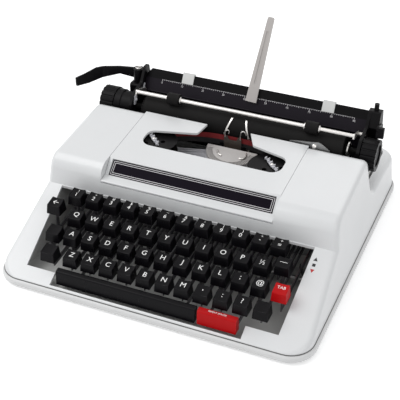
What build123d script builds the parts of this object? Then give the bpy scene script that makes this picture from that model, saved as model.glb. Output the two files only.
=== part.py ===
"""Portable manual typewriter with its carriage, keyboard and type basket.

Millimetres. The origin is the centre of the feet's underside, X runs to the typist's
right, Y to the back and Z up.
"""
from build123d import *
from math import atan2, cos, degrees, hypot, radians, sin
import os

# Keys, which set the spread of the whole machine
KEY_PITCH = 19.0
MIDDLE = -2.0
KEY_FIELD_HALF = 5.5 * KEY_PITCH
FIRST_KEY_X = MIDDLE - KEY_FIELD_HALF - 0.2
ROW_STAGGER = (0.0, 0.5 * KEY_PITCH, 0.75 * KEY_PITCH, 1.25 * KEY_PITCH)
ROW_Y = (-81.0, -101.4, -119.6, -138.5)
ROW_Z = (66.3, 56.4, 47.4, 38.5)
BACKSPACE_Y = -94.5
MARGIN_KEY_Y = -96.8
CAP_WIDTH = 14.8
CAP_DEPTH = 13.6
CAP_TOP_WIDTH = 13.0
CAP_HEIGHT = 11.5
CAP_TILT = 12.0
CAP_DISH = 0.7
SPACE_BAR_GAP = 0.9
SPACE_BAR_DEPTH = 8.3
SPACE_BAR_BACK = ROW_Y[-1] - CAP_DEPTH / 2 - SPACE_BAR_GAP
SPACE_BAR_FRONT = SPACE_BAR_BACK - SPACE_BAR_DEPTH
SPACE_BAR_TOP = 27.5
SPACE_BAR_FOOT = 11.5
SPACE_BAR_LEFT = FIRST_KEY_X + 0.72 * KEY_PITCH
SPACE_BAR_RIGHT = FIRST_KEY_X + 8.17 * KEY_PITCH
REPEAT_LEFT = SPACE_BAR_RIGHT + 2.5
REPEAT_RIGHT = FIRST_KEY_X + 10.27 * KEY_PITCH

# Keyboard well, cut through the sloping surround
SIDE_KEY_ROOM = 27.5
WELL_BACK_HALF = KEY_FIELD_HALF + SIDE_KEY_ROOM
WELL_FRONT_HALF = WELL_BACK_HALF - 4.5
WELL_FRONT = SPACE_BAR_BACK + 0.2
NOTCH_HALF = MIDDLE - SPACE_BAR_LEFT + 5.5
NOTCH_FRONT = SPACE_BAR_FRONT - 3.0

# Case
SIDE_BORDER = 27.0
CASE_WIDTH = 2 * (WELL_BACK_HALF + SIDE_BORDER)
CASE_FRONT = NOTCH_FRONT - 5.5
CASE_BACK = 161.0
CASE_CORNER = 26.0
CASE_DRAFT = 6.0
FOOT_HEIGHT = 2.0
FOOT_RADIUS = 9.0
FOOT_INSET = 30.0
FOOT_SINK = 0.8
FOOT_PLAY = 0.1
PAN_TOP = 9.5
PAN_WALL = 4.0
PAN_FLOOR = 1.6
PAN_BEAD = 2.6
PAN_FLOOR_TOP = FOOT_HEIGHT + PAN_FLOOR
SHELL_INSET = 2.5
SHELL_WALL = 2.5
EDGE_ROUND = 6.0

# Side profile of the upper shell
SURROUND_SLOPE = 0.485
HOOD_FRONT = ROW_Y[0] + 18.0
HOOD_FOOT_Z = 57.5
FACE_TOP = (-60.5, 72.0)
FACE_BEND = (-55.5, 83.0)
HOOD_CREST = (-44.0, 87.5)
HOOD_BACK = 43.5
HOOD_BACK_Z = 95.0
SHOULDER_START = 37.0
SHOULDER_RADIUS = 9.0
SHOULDER_END = 10.0
FALL_FOOT = (51.0, 64.0)
FALL_BEND = (57.8, 51.3)
DECK_Z = 45.0
DECK_FRONT = 71.0
TROUGH_SIDE = 17.0
TROUGH_HALF = CASE_WIDTH / 2 - TROUGH_SIDE
TROUGH_FRONT = 44.2
TROUGH_BACK = CASE_BACK - 10.0
TROUGH_CORNER = 12.0
WELL_BACK = HOOD_FRONT - 0.6

# Ribbon spools, and the cover and opening above them
SPOOL_RADIUS = 24.0
SPOOL_BASE = 73.0
SPOOL_SHELF = 71.0
SPOOL_X = 63.5
SPOOL_Y = 8.0
SPOOL_POST_TOP = 85.0
SPOOL_BORE = 3.0
COVER_SIDE = 25.5
COVER_HALF = SPOOL_X + COVER_SIDE
COVER_GAP = 0.4
COVER_WALL = 2.2
LEDGE_FRONT = (-60.0, 72.6)
BAND_FRONT = (-51.2, 73.9)
BAND_BACK = (-38.5, 84.4)
RISER_TOP = (-38.6, 87.9)
BAND_MARGIN = 3.5
BAND_HALF = COVER_HALF - BAND_MARGIN
BAND_THICKNESS = 1.2
COVER_PIVOT = (-59.6, 71.2)
BARREL_RADIUS = 1.4
OPENING_LEFT = MIDDLE - SPOOL_X - 7.8
OPENING_RIGHT = MIDDLE + SPOOL_X + 13.0
OPENING_FRONT = -9.5
OPENING_SIDE_BACK = 14.5
TONGUE_FRONT = 26.0
TONGUE_HALF_FRONT = 30.0
TONGUE_HALF_BACK = 22.0

# Key levers
LEVER_STEP = KEY_PITCH / 4
LEVER_THICKNESS = 1.2
LEVER_HEIGHT = 5.0
LEVER_FRONT_Z = 23.5
STEM_DEPTH = 5.0
FULCRUM_Y = 30.0
FULCRUM_Z = 36.0
FULCRUM_RADIUS = 2.5
EYE_RADIUS = 5.0
RUNNING_GAP = 0.05
BAR_PIVOT_Y = -60.0
BAR_PIVOT_Z = 13.5
BAR_PIVOT_RADIUS = 2.0
BAR_ARM_HEIGHT = 4.0

SELECTOR_X = MIDDLE + WELL_BACK_HALF - 6.0
SELECTOR_PIVOT = (-70.0, 12.0)
SELECTOR_BORE = 1.5

# Inner frame
FRAME_SPARE = 5.0
FRAME_HALF = WELL_BACK_HALF + FRAME_SPARE
FRAME_PLATE = 2.0
FRAME_FRONT = CASE_FRONT + 12.0
FRAME_BACK = CASE_BACK - 15.0
FRAME_FLOOR = 1.2
CROSS_BAR_Y = 44.0
CROSS_BAR_TOP = 58.0

# Type basket
PRINT_X = 8.0
CARD_X = PRINT_X + 1.0
CARD_FOOT_HALF = 13.2
CARD_TIP_HALF = 7.7
CARD_FINGER = 0.9
SEGMENT_Y = 39.5
SEGMENT_Z = 75.5
SEGMENT_TILT = 10.0
SEGMENT_RADIUS = 27.0
SEGMENT_THICKNESS = 11.0
SLOT_DEPTH = 6.5
SLOT_WIDTH = 0.95
TYPEBAR_COUNT = 44
TYPEBAR_FAN = 156.0
TYPEBAR_THICKNESS = 0.85
TYPEBAR_HEIGHT = 3.2
TYPEBAR_LENGTH = 49.0
TYPEBAR_DEPTH = 5.5
SLUG_LENGTH = 7.0
SLUG_WIDTH = 2.4
RIBBON_HEIGHT = 12.0
RIBBON_LOW = 73.7
RIBBON_Y = 46.2
VIBRATOR_Y = 45.2
VIBRATOR_THICKNESS = 0.9
VIBRATOR_TAIL = 6.0

# Carriage
CARRIAGE_X = 10.6
PLATEN_Y = 65.0
PLATEN_Z = 87.0
PLATEN_RADIUS = 17.0
PLATEN_HALF = 108.5
CARRIAGE_HALF = PLATEN_HALF + 14.0
SHAFT_RADIUS = 3.0
KNOB_RADIUS = 16.0
KNOB_LENGTH = 15.0
KNOB_GROOVES = 16
LEFT_KNOB_FACE = CARRIAGE_X - CARRIAGE_HALF - 37.6
RIGHT_KNOB_FACE = CARRIAGE_X + CARRIAGE_HALF + 19.2
END_PLATE = 3.0
END_BOX = 10.0
RAIL_FRONT = 72.0
RAIL_BACK = 100.0
RAIL_TOP = 53.0
RAIL_BASE = 40.0
RAIL_FLOOR = DECK_Z + 1.0
RAIL_WALL = 2.5
CHANNEL = 7.0
RUNNER = 4.0
TABLE_TOP_Y = 95.0
TABLE_TOP_Z = 118.7
TABLE_LEAN = 30.0
TABLE_WALL = 1.2
TABLE_STRAIGHT = 24.0
ROLLER_RADIUS = 6.2
BAIL_ANGLE = 21.2
BAIL_REACH = PLATEN_RADIUS + ROLLER_RADIUS + 0.3
BAIL_Y = PLATEN_Y - BAIL_REACH * sin(radians(BAIL_ANGLE))
BAIL_Z = PLATEN_Z + BAIL_REACH * cos(radians(BAIL_ANGLE))
BAIL_RADIUS = 2.0
BAIL_HALF = PLATEN_HALF + 8.5
BAIL_PIVOT_Y = PLATEN_Y + 11.0
BAIL_PIVOT_Z = PLATEN_Z + 14.0
ROLLER_LENGTH = 13.0
ROLLER_OFFSET = 75.0
ARM_LENGTH = 89.0
ARM_BASE_HALF = 6.0
ARM_TIP_HALF = 3.5
ARM_WALL = 1.6
ARM_LAYER = 1.8
ARM_DROP = 15.0
ARM_PIVOT_TO_END = 6.0
ARM_SWING = 2.5
STOP_OFFSET = 77.5
STOP_HALF = 6.5
RETURN_PIVOT_X = CARRIAGE_X - CARRIAGE_HALF - 9.6
RETURN_PIVOT_Y = RAIL_BACK - 10.0
RETURN_BASE_Z = 103.3
DRUM_CENTRE = (-105.0, CASE_BACK - 37.0)
DRUM_BASE = 10.0
DRUM_TOP = 30.0
DRUM_BORE = 4.0

MIDDLE_ROWS = (
    ("q", "w", "e", "r", "t", "y", "u", "i", "o", "p", "half"),
    ("a", "s", "d", "f", "g", "h", "j", "k", "l", "semicolon", "at"),
)
NUMBER_ROW_COUNT = 12
BOTTOM_ROW_COUNT = 10

PARTS = {}


# Shared shapes

def block(x, y, z):
    """Box between low and high limits."""
    size = [limits[1] - limits[0] for limits in (x, y, z)]
    middle = [sum(limits) / 2 for limits in (x, y, z)]
    return Pos(*middle) * Box(*size)


def side_prism(face, x_low, x_high):
    """Side profile drawn in (y, z), carried across the machine."""
    return extrude(Plane.YZ.offset(x_low) * face, amount=x_high - x_low)


def polygon(*points):
    return make_face(Polyline(*points, close=True))


def disc(y, z, radius):
    return Pos(y, z) * Circle(radius)


def rod_along_x(x_low, x_high, y, z, radius):
    middle = (x_low + x_high) / 2
    return Pos(middle, y, z) * Rot(0, 90, 0) * Cylinder(radius, x_high - x_low)


def surround_z(y):
    """Height of the sloping keyboard surround."""
    return HOOD_FOOT_Z + SURROUND_SLOPE * (y - HOOD_FRONT)


def hood_z(y):
    """Height of the hood's flat top."""
    slope = (HOOD_BACK_Z - HOOD_CREST[1]) / (HOOD_BACK - HOOD_CREST[0])
    return HOOD_CREST[1] + slope * (y - HOOD_CREST[0])


def key_top_z(y):
    """Height of the plane through the key tops."""
    slope = (ROW_Z[0] - ROW_Z[-1]) / (ROW_Y[0] - ROW_Y[-1])
    return ROW_Z[-1] + slope * (y - ROW_Y[-1])


def case_outline(inset, z, height, draft=0.0):
    """Rounded plan of the case, drawn in by an inset and leaning in upwards."""
    width = CASE_WIDTH - 2 * inset
    depth = CASE_BACK - CASE_FRONT - 2 * inset
    middle = (CASE_BACK + CASE_FRONT) / 2
    plan = Pos(0, middle) * RectangleRounded(width, depth, CASE_CORNER - inset)
    return extrude(Plane.XY.offset(z) * plan, amount=height, taper=draft)


# Casing

def make_base_pan():
    """Shallow tray with a rounded bead round its rim."""
    pan = case_outline(0, FOOT_HEIGHT, PAN_TOP - FOOT_HEIGHT)
    rims = pan.faces().sort_by(Axis.Z)[0].edges() + pan.faces().sort_by(Axis.Z)[-1].edges()
    pan = fillet(rims, PAN_BEAD)
    pan -= case_outline(PAN_WALL, PAN_FLOOR_TOP, PAN_TOP)
    for place in foot_places():
        pan -= place * Cylinder(FOOT_RADIUS + FOOT_PLAY, 2 * (FOOT_HEIGHT + FOOT_SINK))
    return pan


def foot_places():
    """Floor points under the four corners of the case."""
    across = CASE_WIDTH / 2 - FOOT_INSET
    return [Pos(x, y, 0) for x in (-across, across)
            for y in (CASE_FRONT + FOOT_INSET, CASE_BACK - FOOT_INSET)]


def make_feet():
    """Rubber discs set a little way into the pan."""
    height = FOOT_HEIGHT + FOOT_SINK
    return [place * Pos(0, 0, height / 2) * Cylinder(FOOT_RADIUS, height) for place in foot_places()]


def shell_profile():
    """Side outline: sloping surround, hood, fall behind the hood and rear deck."""
    bottom = PAN_TOP - 4
    front = CASE_FRONT - 7
    back = CASE_BACK + 9
    lean = atan2(hood_z(1) - hood_z(0), 1)
    shoulder = (SHOULDER_START, hood_z(SHOULDER_START))
    centre = (shoulder[0] + SHOULDER_RADIUS * sin(lean), shoulder[1] - SHOULDER_RADIUS * cos(lean))
    turns = (radians(90 + SHOULDER_END) / 2 + lean / 2, radians(SHOULDER_END))
    bend, end = [(centre[0] + SHOULDER_RADIUS * cos(turn), centre[1] + SHOULDER_RADIUS * sin(turn))
                 for turn in turns]
    lines = [
        Line((front, bottom), (front, surround_z(front))),
        Line((front, surround_z(front)), (HOOD_FRONT, HOOD_FOOT_Z)),
        Line((HOOD_FRONT, HOOD_FOOT_Z), FACE_TOP),
        ThreePointArc(FACE_TOP, FACE_BEND, HOOD_CREST),
        Line(HOOD_CREST, shoulder),
        ThreePointArc(shoulder, bend, end),
        Line(end, FALL_FOOT),
        ThreePointArc(FALL_FOOT, FALL_BEND, (DECK_FRONT, DECK_Z)),
        Line((DECK_FRONT, DECK_Z), (back, DECK_Z)),
        Line((back, DECK_Z), (back, bottom)),
        Line((back, bottom), (front, bottom)),
    ]
    return make_face(Curve() + lines)


def rounded_form(profile, inset, rounding):
    """The case's solid form: side profile and drafted plan together, edges rounded."""
    form = side_prism(profile, -CASE_WIDTH, CASE_WIDTH)
    form &= case_outline(inset, PAN_TOP, HOOD_BACK_Z + 10, CASE_DRAFT)
    edges = []
    for edge in form.edges():
        middle = edge @ 0.5
        rise = abs((edge @ 0).Z - (edge @ 1).Z)
        upright = edge.geom_type == GeomType.LINE and rise > 0.9 * edge.length
        corner_seam = upright and middle.Z < DECK_Z - 5 and edge.length < DECK_Z
        outer = abs(middle.X) > CASE_WIDTH / 2 - CASE_CORNER - 1
        at_back = middle.Y > CASE_BACK - 8
        at_front = abs(middle.X) < 1 and middle.Y < CASE_FRONT + 8
        if middle.Z > PAN_TOP + 0.1 and (outer or at_back or at_front) and not corner_seam:
            edges.append(edge)
    return fillet(edges, rounding)


def cover_cut():
    """Room for the ribbon cover through the hood."""
    low = COVER_PIVOT[1] - BARREL_RADIUS - 0.3
    face = polygon((HOOD_FRONT - 5, low), (HOOD_FRONT + 5, low), (HOOD_FRONT + 5, 60),
                   (TROUGH_FRONT + 4, 60), (TROUGH_FRONT + 4, 120), (HOOD_FRONT - 5, 120))
    half = COVER_HALF + COVER_GAP
    return side_prism(face, MIDDLE - half, MIDDLE + half)


def well_cut():
    """Keyboard opening with the step for the space bar at its front."""
    well = polygon((MIDDLE - WELL_BACK_HALF, WELL_BACK), (MIDDLE + WELL_BACK_HALF, WELL_BACK),
                   (MIDDLE + WELL_FRONT_HALF, WELL_FRONT), (MIDDLE - WELL_FRONT_HALF, WELL_FRONT))
    notch_depth = WELL_FRONT - NOTCH_FRONT
    notch = Pos(MIDDLE, WELL_FRONT - notch_depth / 2) * Rectangle(2 * NOTCH_HALF, notch_depth + 1)
    return extrude(Pos(0, 0, 5) * (well + notch), amount=60)


def make_upper_shell():
    profile = shell_profile()
    shell = rounded_form(profile, SHELL_INSET, EDGE_ROUND)
    inner = offset(profile, -SHELL_WALL, kind=Kind.INTERSECTION)
    shell -= rounded_form(inner, SHELL_INSET + SHELL_WALL, EDGE_ROUND - SHELL_WALL)
    trough_depth = TROUGH_BACK - TROUGH_FRONT
    trough = Pos(0, (TROUGH_BACK + TROUGH_FRONT) / 2) * RectangleRounded(
        2 * TROUGH_HALF, trough_depth, TROUGH_CORNER)
    shell -= extrude(Pos(0, 0, DECK_Z - 15) * trough, amount=100)
    shell -= cover_cut()
    shell -= well_cut()
    return shell


def cover_section():
    """Ledge, band bevel and flat top of the ribbon cover, in side view."""
    back = TROUGH_FRONT
    return polygon(
        (COVER_PIVOT[0], COVER_PIVOT[1] - BARREL_RADIUS), LEDGE_FRONT, BAND_FRONT, RISER_TOP,
        (back, hood_z(back)), (back, hood_z(back) - COVER_WALL), (-34.0, 86.3),
        (-37.2, 82.2), (-50.2, 71.5))


def opening_face():
    """Outline of the opening over the type basket, with a mouth to the rear."""
    back = TROUGH_FRONT + 5
    opening = polygon(
        (OPENING_LEFT, OPENING_FRONT), (OPENING_RIGHT, OPENING_FRONT),
        (OPENING_RIGHT, OPENING_SIDE_BACK + 2), (PRINT_X + TONGUE_HALF_FRONT - 3, TONGUE_FRONT),
        (MIDDLE + 3 + TONGUE_HALF_BACK, back), (MIDDLE + 3 - TONGUE_HALF_BACK, back),
        (PRINT_X - TONGUE_HALF_FRONT - 3, TONGUE_FRONT), (OPENING_LEFT, OPENING_SIDE_BACK))
    front = opening.vertices().group_by(Axis.Y)[0]
    opening = fillet(front, 11)
    rest = [v for v in opening.vertices() if OPENING_SIDE_BACK - 0.5 < v.Y < OPENING_SIDE_BACK + 2.5]
    opening = fillet(rest, 9)
    tongues = [v for v in opening.vertices() if abs(v.Y - TONGUE_FRONT) < 0.1]
    return fillet(tongues, 4)


def band_face(drop, height):
    """Strip along the bevel, a given drop under the band's face."""
    run = BAND_BACK[0] - BAND_FRONT[0]
    rise = BAND_BACK[1] - BAND_FRONT[1]
    length = hypot(run, rise)
    away = (-rise / length, run / length)
    low = [(p[0] - away[0] * drop, p[1] - away[1] * drop) for p in (BAND_FRONT, BAND_BACK)]
    high = [(p[0] + away[0] * (height - drop), p[1] + away[1] * (height - drop))
            for p in (BAND_BACK, BAND_FRONT)]
    return polygon(*low, *high)


def make_ribbon_cover():
    left = MIDDLE - COVER_HALF
    right = MIDDLE + COVER_HALF
    cover = side_prism(cover_section(), left, right)
    cover += rod_along_x(left, right, *COVER_PIVOT, BARREL_RADIUS)
    pocket = side_prism(band_face(BAND_THICKNESS, 12), MIDDLE - BAND_HALF, MIDDLE + BAND_HALF)
    cover -= pocket
    return cover - extrude(Pos(0, 0, 75) * opening_face(), amount=40)


def make_name_band():
    face = band_face(BAND_THICKNESS, BAND_THICKNESS)
    inset = 0.3
    return side_prism(face, MIDDLE - BAND_HALF + inset, MIDDLE + BAND_HALF - inset)


# Inner frame

def make_inner_frame():
    """Two side plates, a pressed floor under the keys, brackets and a cross bar."""
    rail_seat = RAIL_BASE + 3
    side = polygon((FRAME_FRONT, PAN_FLOOR_TOP), (FRAME_FRONT, 9), (-66, 49), (-38, SPOOL_SHELF),
                   (34, SPOOL_SHELF), (CROSS_BAR_Y + 4, 52), (62, rail_seat), (FRAME_BACK, rail_seat),
                   (FRAME_BACK, PAN_FLOOR_TOP))
    frame = None
    for inner in (-FRAME_HALF - FRAME_PLATE, FRAME_HALF):
        plate = side_prism(side, inner, inner + FRAME_PLATE)
        frame = plate if frame is None else frame + plate
    across = (-FRAME_HALF - 1, FRAME_HALF + 1)
    floor_z = (PAN_FLOOR_TOP, PAN_FLOOR_TOP + FRAME_FLOOR)
    frame += block(across, (FRAME_FRONT, -30), floor_z)
    frame += block(across, (-32, -30), (PAN_FLOOR_TOP, 20))
    frame += block(across, (CROSS_BAR_Y, CROSS_BAR_Y + 3), (RAIL_BASE, CROSS_BAR_TOP))
    frame += block(across, (FRAME_BACK - 14, FRAME_BACK), floor_z)
    frame -= vibrator_groove()
    for x in (-SPOOL_X, SPOOL_X):
        near = MIDDLE + x
        outer = -FRAME_HALF - 1 if x < 0 else FRAME_HALF + 1
        limits = (min(near - 9, outer), max(near + 9, outer))
        frame += block(limits, (SPOOL_Y - 9, SPOOL_Y + 6), (SPOOL_SHELF - 2, SPOOL_SHELF))
    return frame


def vibrator_groove():
    """Guide in the cross bar for the tail of the ribbon vibrator."""
    half = VIBRATOR_TAIL + 0.2
    middle = vibrator_middle()
    return block((middle - half, middle + half), (CROSS_BAR_Y - 1, VIBRATOR_Y + RUNNING_GAP),
                 (RAIL_BASE + 4, CROSS_BAR_TOP + 1))


def vibrator_middle():
    return PRINT_X - 2


def make_pivot_shafts():
    """Key fulcrum, space bar shaft, selector pin, spool posts and drum post."""
    inside = FRAME_HALF
    shafts = [
        rod_along_x(-inside, inside, FULCRUM_Y, FULCRUM_Z, FULCRUM_RADIUS),
        rod_along_x(-inside, inside, BAR_PIVOT_Y, BAR_PIVOT_Z, BAR_PIVOT_RADIUS),
        rod_along_x(SELECTOR_X - 2, inside, *SELECTOR_PIVOT, SELECTOR_BORE - RUNNING_GAP),
    ]
    for x in (MIDDLE - SPOOL_X, MIDDLE + SPOOL_X):
        post = shouldered_post(SPOOL_BORE, SPOOL_SHELF, SPOOL_BASE, SPOOL_POST_TOP)
        shafts.append(Pos(x, SPOOL_Y, 0) * post)
    drum_post = shouldered_post(DRUM_BORE, PAN_FLOOR_TOP, DRUM_BASE, DRUM_TOP)
    shafts.append(Pos(*DRUM_CENTRE, 0) * drum_post)
    return shafts


def shouldered_post(bore, foot, seat, top):
    """Upright post for a bore, with a shoulder just under what turns on it."""
    post = Cylinder(bore - RUNNING_GAP, top - foot, align=(Align.CENTER, Align.CENTER, Align.MIN))
    shoulder = Cylinder(bore + 2.5, seat - RUNNING_GAP - foot, align=(Align.CENTER, Align.CENTER, Align.MIN))
    return Pos(0, 0, foot) * (post + shoulder)


# Keyboard

def arm_z(y):
    """Centre line that all key levers share, falling towards the front."""
    run = (FULCRUM_Y - y) / (FULCRUM_Y - ROW_Y[-1])
    return FULCRUM_Z - (FULCRUM_Z - LEVER_FRONT_Z) * run


def lever(x, y_end, top, leg=None):
    """Flat key lever on the fulcrum and the upright stem under its cap."""
    half = LEVER_HEIGHT / 2
    back = y_end + STEM_DEPTH / 2
    front = y_end - STEM_DEPTH / 2
    arm = polygon((FULCRUM_Y, FULCRUM_Z - half), (front, arm_z(front) - half),
                  (front, arm_z(front) + half), (FULCRUM_Y, FULCRUM_Z + half))
    arm += disc(FULCRUM_Y, FULCRUM_Z, EYE_RADIUS)
    if leg:
        arm += leg
    arm -= disc(FULCRUM_Y, FULCRUM_Z, FULCRUM_RADIUS + RUNNING_GAP)
    stem = polygon((front, arm_z(front) + half), (back, arm_z(back) + half), (back, top), (front, top))
    low = x - LEVER_THICKNESS / 2
    high = x + LEVER_THICKNESS / 2
    return [side_prism(arm, low, high), side_prism(stem, low, high)]


def key_cap(x, y, z, width=CAP_WIDTH):
    """Tall cap whose top leans to the typist and is hollowed for the finger."""
    narrowing = (CAP_WIDTH - CAP_TOP_WIDTH) / 2
    taper = degrees(atan2(narrowing, CAP_HEIGHT))
    cap = extrude(Rectangle(width, CAP_DEPTH), amount=CAP_HEIGHT + 4, taper=taper)
    chord = width / 2 - narrowing
    radius = (chord ** 2 + CAP_DISH ** 2) / (2 * CAP_DISH)
    lean = radians(CAP_TILT)
    top_plane = Plane(origin=(0, 0, CAP_HEIGHT), x_dir=(1, 0, 0), z_dir=(0, -sin(lean), cos(lean)))
    dish = top_plane * Pos(0, 0, radius - CAP_DISH) * Rot(90, 0, 0) * Cylinder(radius, 2 * CAP_DEPTH)
    return Pos(x, y, z - CAP_HEIGHT) * (cap - dish)


def key(x, y, z, lever_x=None, width=CAP_WIDTH, leg=None):
    """A cap and the lever that carries it."""
    lever_at = x if lever_x is None else lever_x
    return [key_cap(x, y, z, width)] + lever(lever_at, y, z - CAP_HEIGHT, leg)


def row_key(row, column):
    x = FIRST_KEY_X + ROW_STAGGER[row] + KEY_PITCH * column
    return key(x, ROW_Y[row], ROW_Z[row])


def make_character_keys():
    for row, names in zip((1, 2), MIDDLE_ROWS):
        for column, name in enumerate(names):
            PARTS["key_" + name] = row_key(row, column)
    number_row = []
    for column in range(NUMBER_ROW_COUNT):
        number_row += row_key(0, column)
    bottom_row = []
    for column in range(BOTTOM_ROW_COUNT):
        bottom_row += row_key(3, column)
    PARTS["number_row_keys"] = number_row
    PARTS["bottom_row_keys"] = bottom_row


def lever_place(step):
    """X of the lever that many quarter pitches from the first key."""
    return FIRST_KEY_X + LEVER_STEP * step


def row_end_x(row, count):
    return FIRST_KEY_X + ROW_STAGGER[row] + KEY_PITCH * (count - 1)


def make_function_keys():
    """Keys outside the four rows, their levers in the gaps beside the character keys'."""
    middle_count = len(MIDDLE_ROWS[0])
    PARTS["backspace_key"] = key(lever_place(-3.5), BACKSPACE_Y, key_top_z(BACKSPACE_Y))
    right_x = row_end_x(1, middle_count) + KEY_PITCH - 0.4
    PARTS["margin_release_key"] = key(right_x, MARGIN_KEY_Y, key_top_z(MARGIN_KEY_Y))
    tab_x = row_end_x(2, middle_count) + KEY_PITCH + 0.75
    PARTS["tab_key"] = key(tab_x, ROW_Y[2], ROW_Z[2], lever_x=lever_place(47.5))
    lock_x = FIRST_KEY_X + ROW_STAGGER[2] - KEY_PITCH
    PARTS["shift_lock"] = key(lock_x, ROW_Y[2], ROW_Z[2], lever_x=lever_place(-2))
    PARTS["shift_keys"] = shift_pair()


def shift_pair():
    """Both shift keys on one cross shaft behind the fulcrum."""
    leg = polygon((FULCRUM_Y - 22, FULCRUM_Z), (FULCRUM_Y - 22, FULCRUM_Z - 13),
                  (FULCRUM_Y - 14, FULCRUM_Z - 13), (FULCRUM_Y - 14, FULCRUM_Z))
    left_lever = lever_place(1)
    right_lever = lever_place(45)
    right_x = row_end_x(3, BOTTOM_ROW_COUNT) + KEY_PITCH
    left = key(FIRST_KEY_X, ROW_Y[3], ROW_Z[3], lever_x=left_lever, leg=leg)
    right = key(right_x, ROW_Y[3], ROW_Z[3], lever_x=right_lever, leg=leg)
    shaft = rod_along_x(left_lever + LEVER_THICKNESS / 2, right_lever - LEVER_THICKNESS / 2,
                        FULCRUM_Y - 18, FULCRUM_Z - 10, 2.0)
    return left + right + [shaft]


def bar_key(x_low, x_high, arms, rounding):
    """Long key on two low arms that turn on the space bar shaft."""
    face = polygon((SPACE_BAR_FRONT, SPACE_BAR_FOOT), (SPACE_BAR_FRONT + 0.8, SPACE_BAR_TOP - 1.5),
                   (SPACE_BAR_BACK - 1, SPACE_BAR_TOP), (SPACE_BAR_BACK, SPACE_BAR_FOOT))
    top = face.vertices().sort_by(Axis.Y)
    face = fillet([v for v in top if v.Y > SPACE_BAR_TOP - 3], rounding)
    solids = [side_prism(face, x_low, x_high)]
    low = BAR_PIVOT_Z - BAR_ARM_HEIGHT / 2
    high = BAR_PIVOT_Z + BAR_ARM_HEIGHT / 2
    for x in arms:
        arm = polygon((SPACE_BAR_BACK, low), (BAR_PIVOT_Y, low), (BAR_PIVOT_Y, high),
                      (SPACE_BAR_BACK, high))
        arm += disc(BAR_PIVOT_Y, BAR_PIVOT_Z, 4.2)
        arm -= disc(BAR_PIVOT_Y, BAR_PIVOT_Z, BAR_PIVOT_RADIUS + RUNNING_GAP)
        solids.append(side_prism(arm, x - LEVER_THICKNESS / 2, x + LEVER_THICKNESS / 2))
    return solids


def make_bar_keys():
    """Space bar and repeat spacer, their arms midway between key levers."""
    space_arms = (lever_place(6.5), lever_place(29.5))
    repeat_arms = (lever_place(34.5), lever_place(40.5))
    PARTS["space_bar"] = bar_key(SPACE_BAR_LEFT, SPACE_BAR_RIGHT, space_arms, 2.0)
    PARTS["repeat_spacer"] = bar_key(REPEAT_LEFT, REPEAT_RIGHT, repeat_arms, 2.0)


def make_colour_selector():
    """Upright lever at the right of the keys that lifts the ribbon to a colour."""
    face = polygon((-72.5, 12), (-67.5, 12), (-78, 38), (-84.5, 52), (-89, 55), (-90, 51.5), (-82, 38))
    face += disc(*SELECTOR_PIVOT, 5)
    face -= disc(*SELECTOR_PIVOT, SELECTOR_BORE)
    return side_prism(face, SELECTOR_X, SELECTOR_X + 1.4)


# Type basket and ribbon

def basket_plane():
    """Plane of the segment's top, with local -Y pointing at the typist."""
    lean = radians(SEGMENT_TILT)
    return Plane(origin=(PRINT_X, SEGMENT_Y, SEGMENT_Z), x_dir=(1, 0, 0),
                 z_dir=(0, -sin(lean), cos(lean)))


def fan_angles():
    step = TYPEBAR_FAN / (TYPEBAR_COUNT - 1)
    return [-TYPEBAR_FAN / 2 + step * i for i in range(TYPEBAR_COUNT)]


def make_type_segment():
    """Half disc with one radial slot for each typebar, on a hanger plate."""
    half_disc = Circle(SEGMENT_RADIUS) & Pos(0, -SEGMENT_RADIUS / 2) * Rectangle(
        2 * SEGMENT_RADIUS, SEGMENT_RADIUS)
    slots = Sketch()
    for angle in fan_angles():
        slot = Pos(0, -SEGMENT_RADIUS + SLOT_DEPTH / 2 - 0.5) * Rectangle(SLOT_WIDTH, SLOT_DEPTH + 1)
        slots += Rot(0, 0, angle) * slot
    face = half_disc - slots
    segment = extrude(basket_plane() * Pos(0, 0, -SEGMENT_THICKNESS) * face, amount=SEGMENT_THICKNESS)
    hanger = block((PRINT_X - 16, PRINT_X + 16), (SEGMENT_Y - 3, CROSS_BAR_Y - 0.6), (46, SEGMENT_Z - 8))
    return segment + hanger


def make_typebars():
    """Bars lying in the slots like a fan, each with its type slug at the far end."""
    inner = SEGMENT_RADIUS - SLOT_DEPTH + 0.3
    outer = SEGMENT_RADIUS + TYPEBAR_LENGTH
    half = TYPEBAR_HEIGHT / 2
    low = -TYPEBAR_DEPTH - half
    profile = polygon((-inner, low), (-inner, low + TYPEBAR_HEIGHT), (-outer, low + TYPEBAR_HEIGHT),
                      (-outer, low + 0.8))
    bar = extrude(Plane.YZ.offset(-TYPEBAR_THICKNESS / 2) * profile, amount=TYPEBAR_THICKNESS)
    slug = Pos(0, -outer - 0.7, low + TYPEBAR_HEIGHT - SLUG_LENGTH / 2 + 1) * Box(
        SLUG_WIDTH, 1.8, SLUG_LENGTH)
    bar += slug
    plane = basket_plane()
    return [plane * Rot(0, 0, angle) * bar for angle in fan_angles()]


def make_ribbon_vibrator():
    """Fork that lifts the ribbon in front of the type as a key is struck."""
    middle = vibrator_middle()
    tail = CROSS_BAR_TOP - 10
    face = polygon((middle - VIBRATOR_TAIL, tail), (middle + VIBRATOR_TAIL, tail),
                   (middle + VIBRATOR_TAIL, CROSS_BAR_TOP + 3), (middle + 9.5, CROSS_BAR_TOP + 6),
                   (middle + 9.5, 84.5), (middle + 6, 86.5), (middle + 4, 82), (middle - 4, 82),
                   (middle - 6, 86.5), (middle - 9.5, 84.5), (middle - 9.5, CROSS_BAR_TOP + 6),
                   (middle - VIBRATOR_TAIL, CROSS_BAR_TOP + 3))
    return extrude(Plane.XZ.offset(-VIBRATOR_Y) * face, amount=VIBRATOR_THICKNESS)


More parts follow.
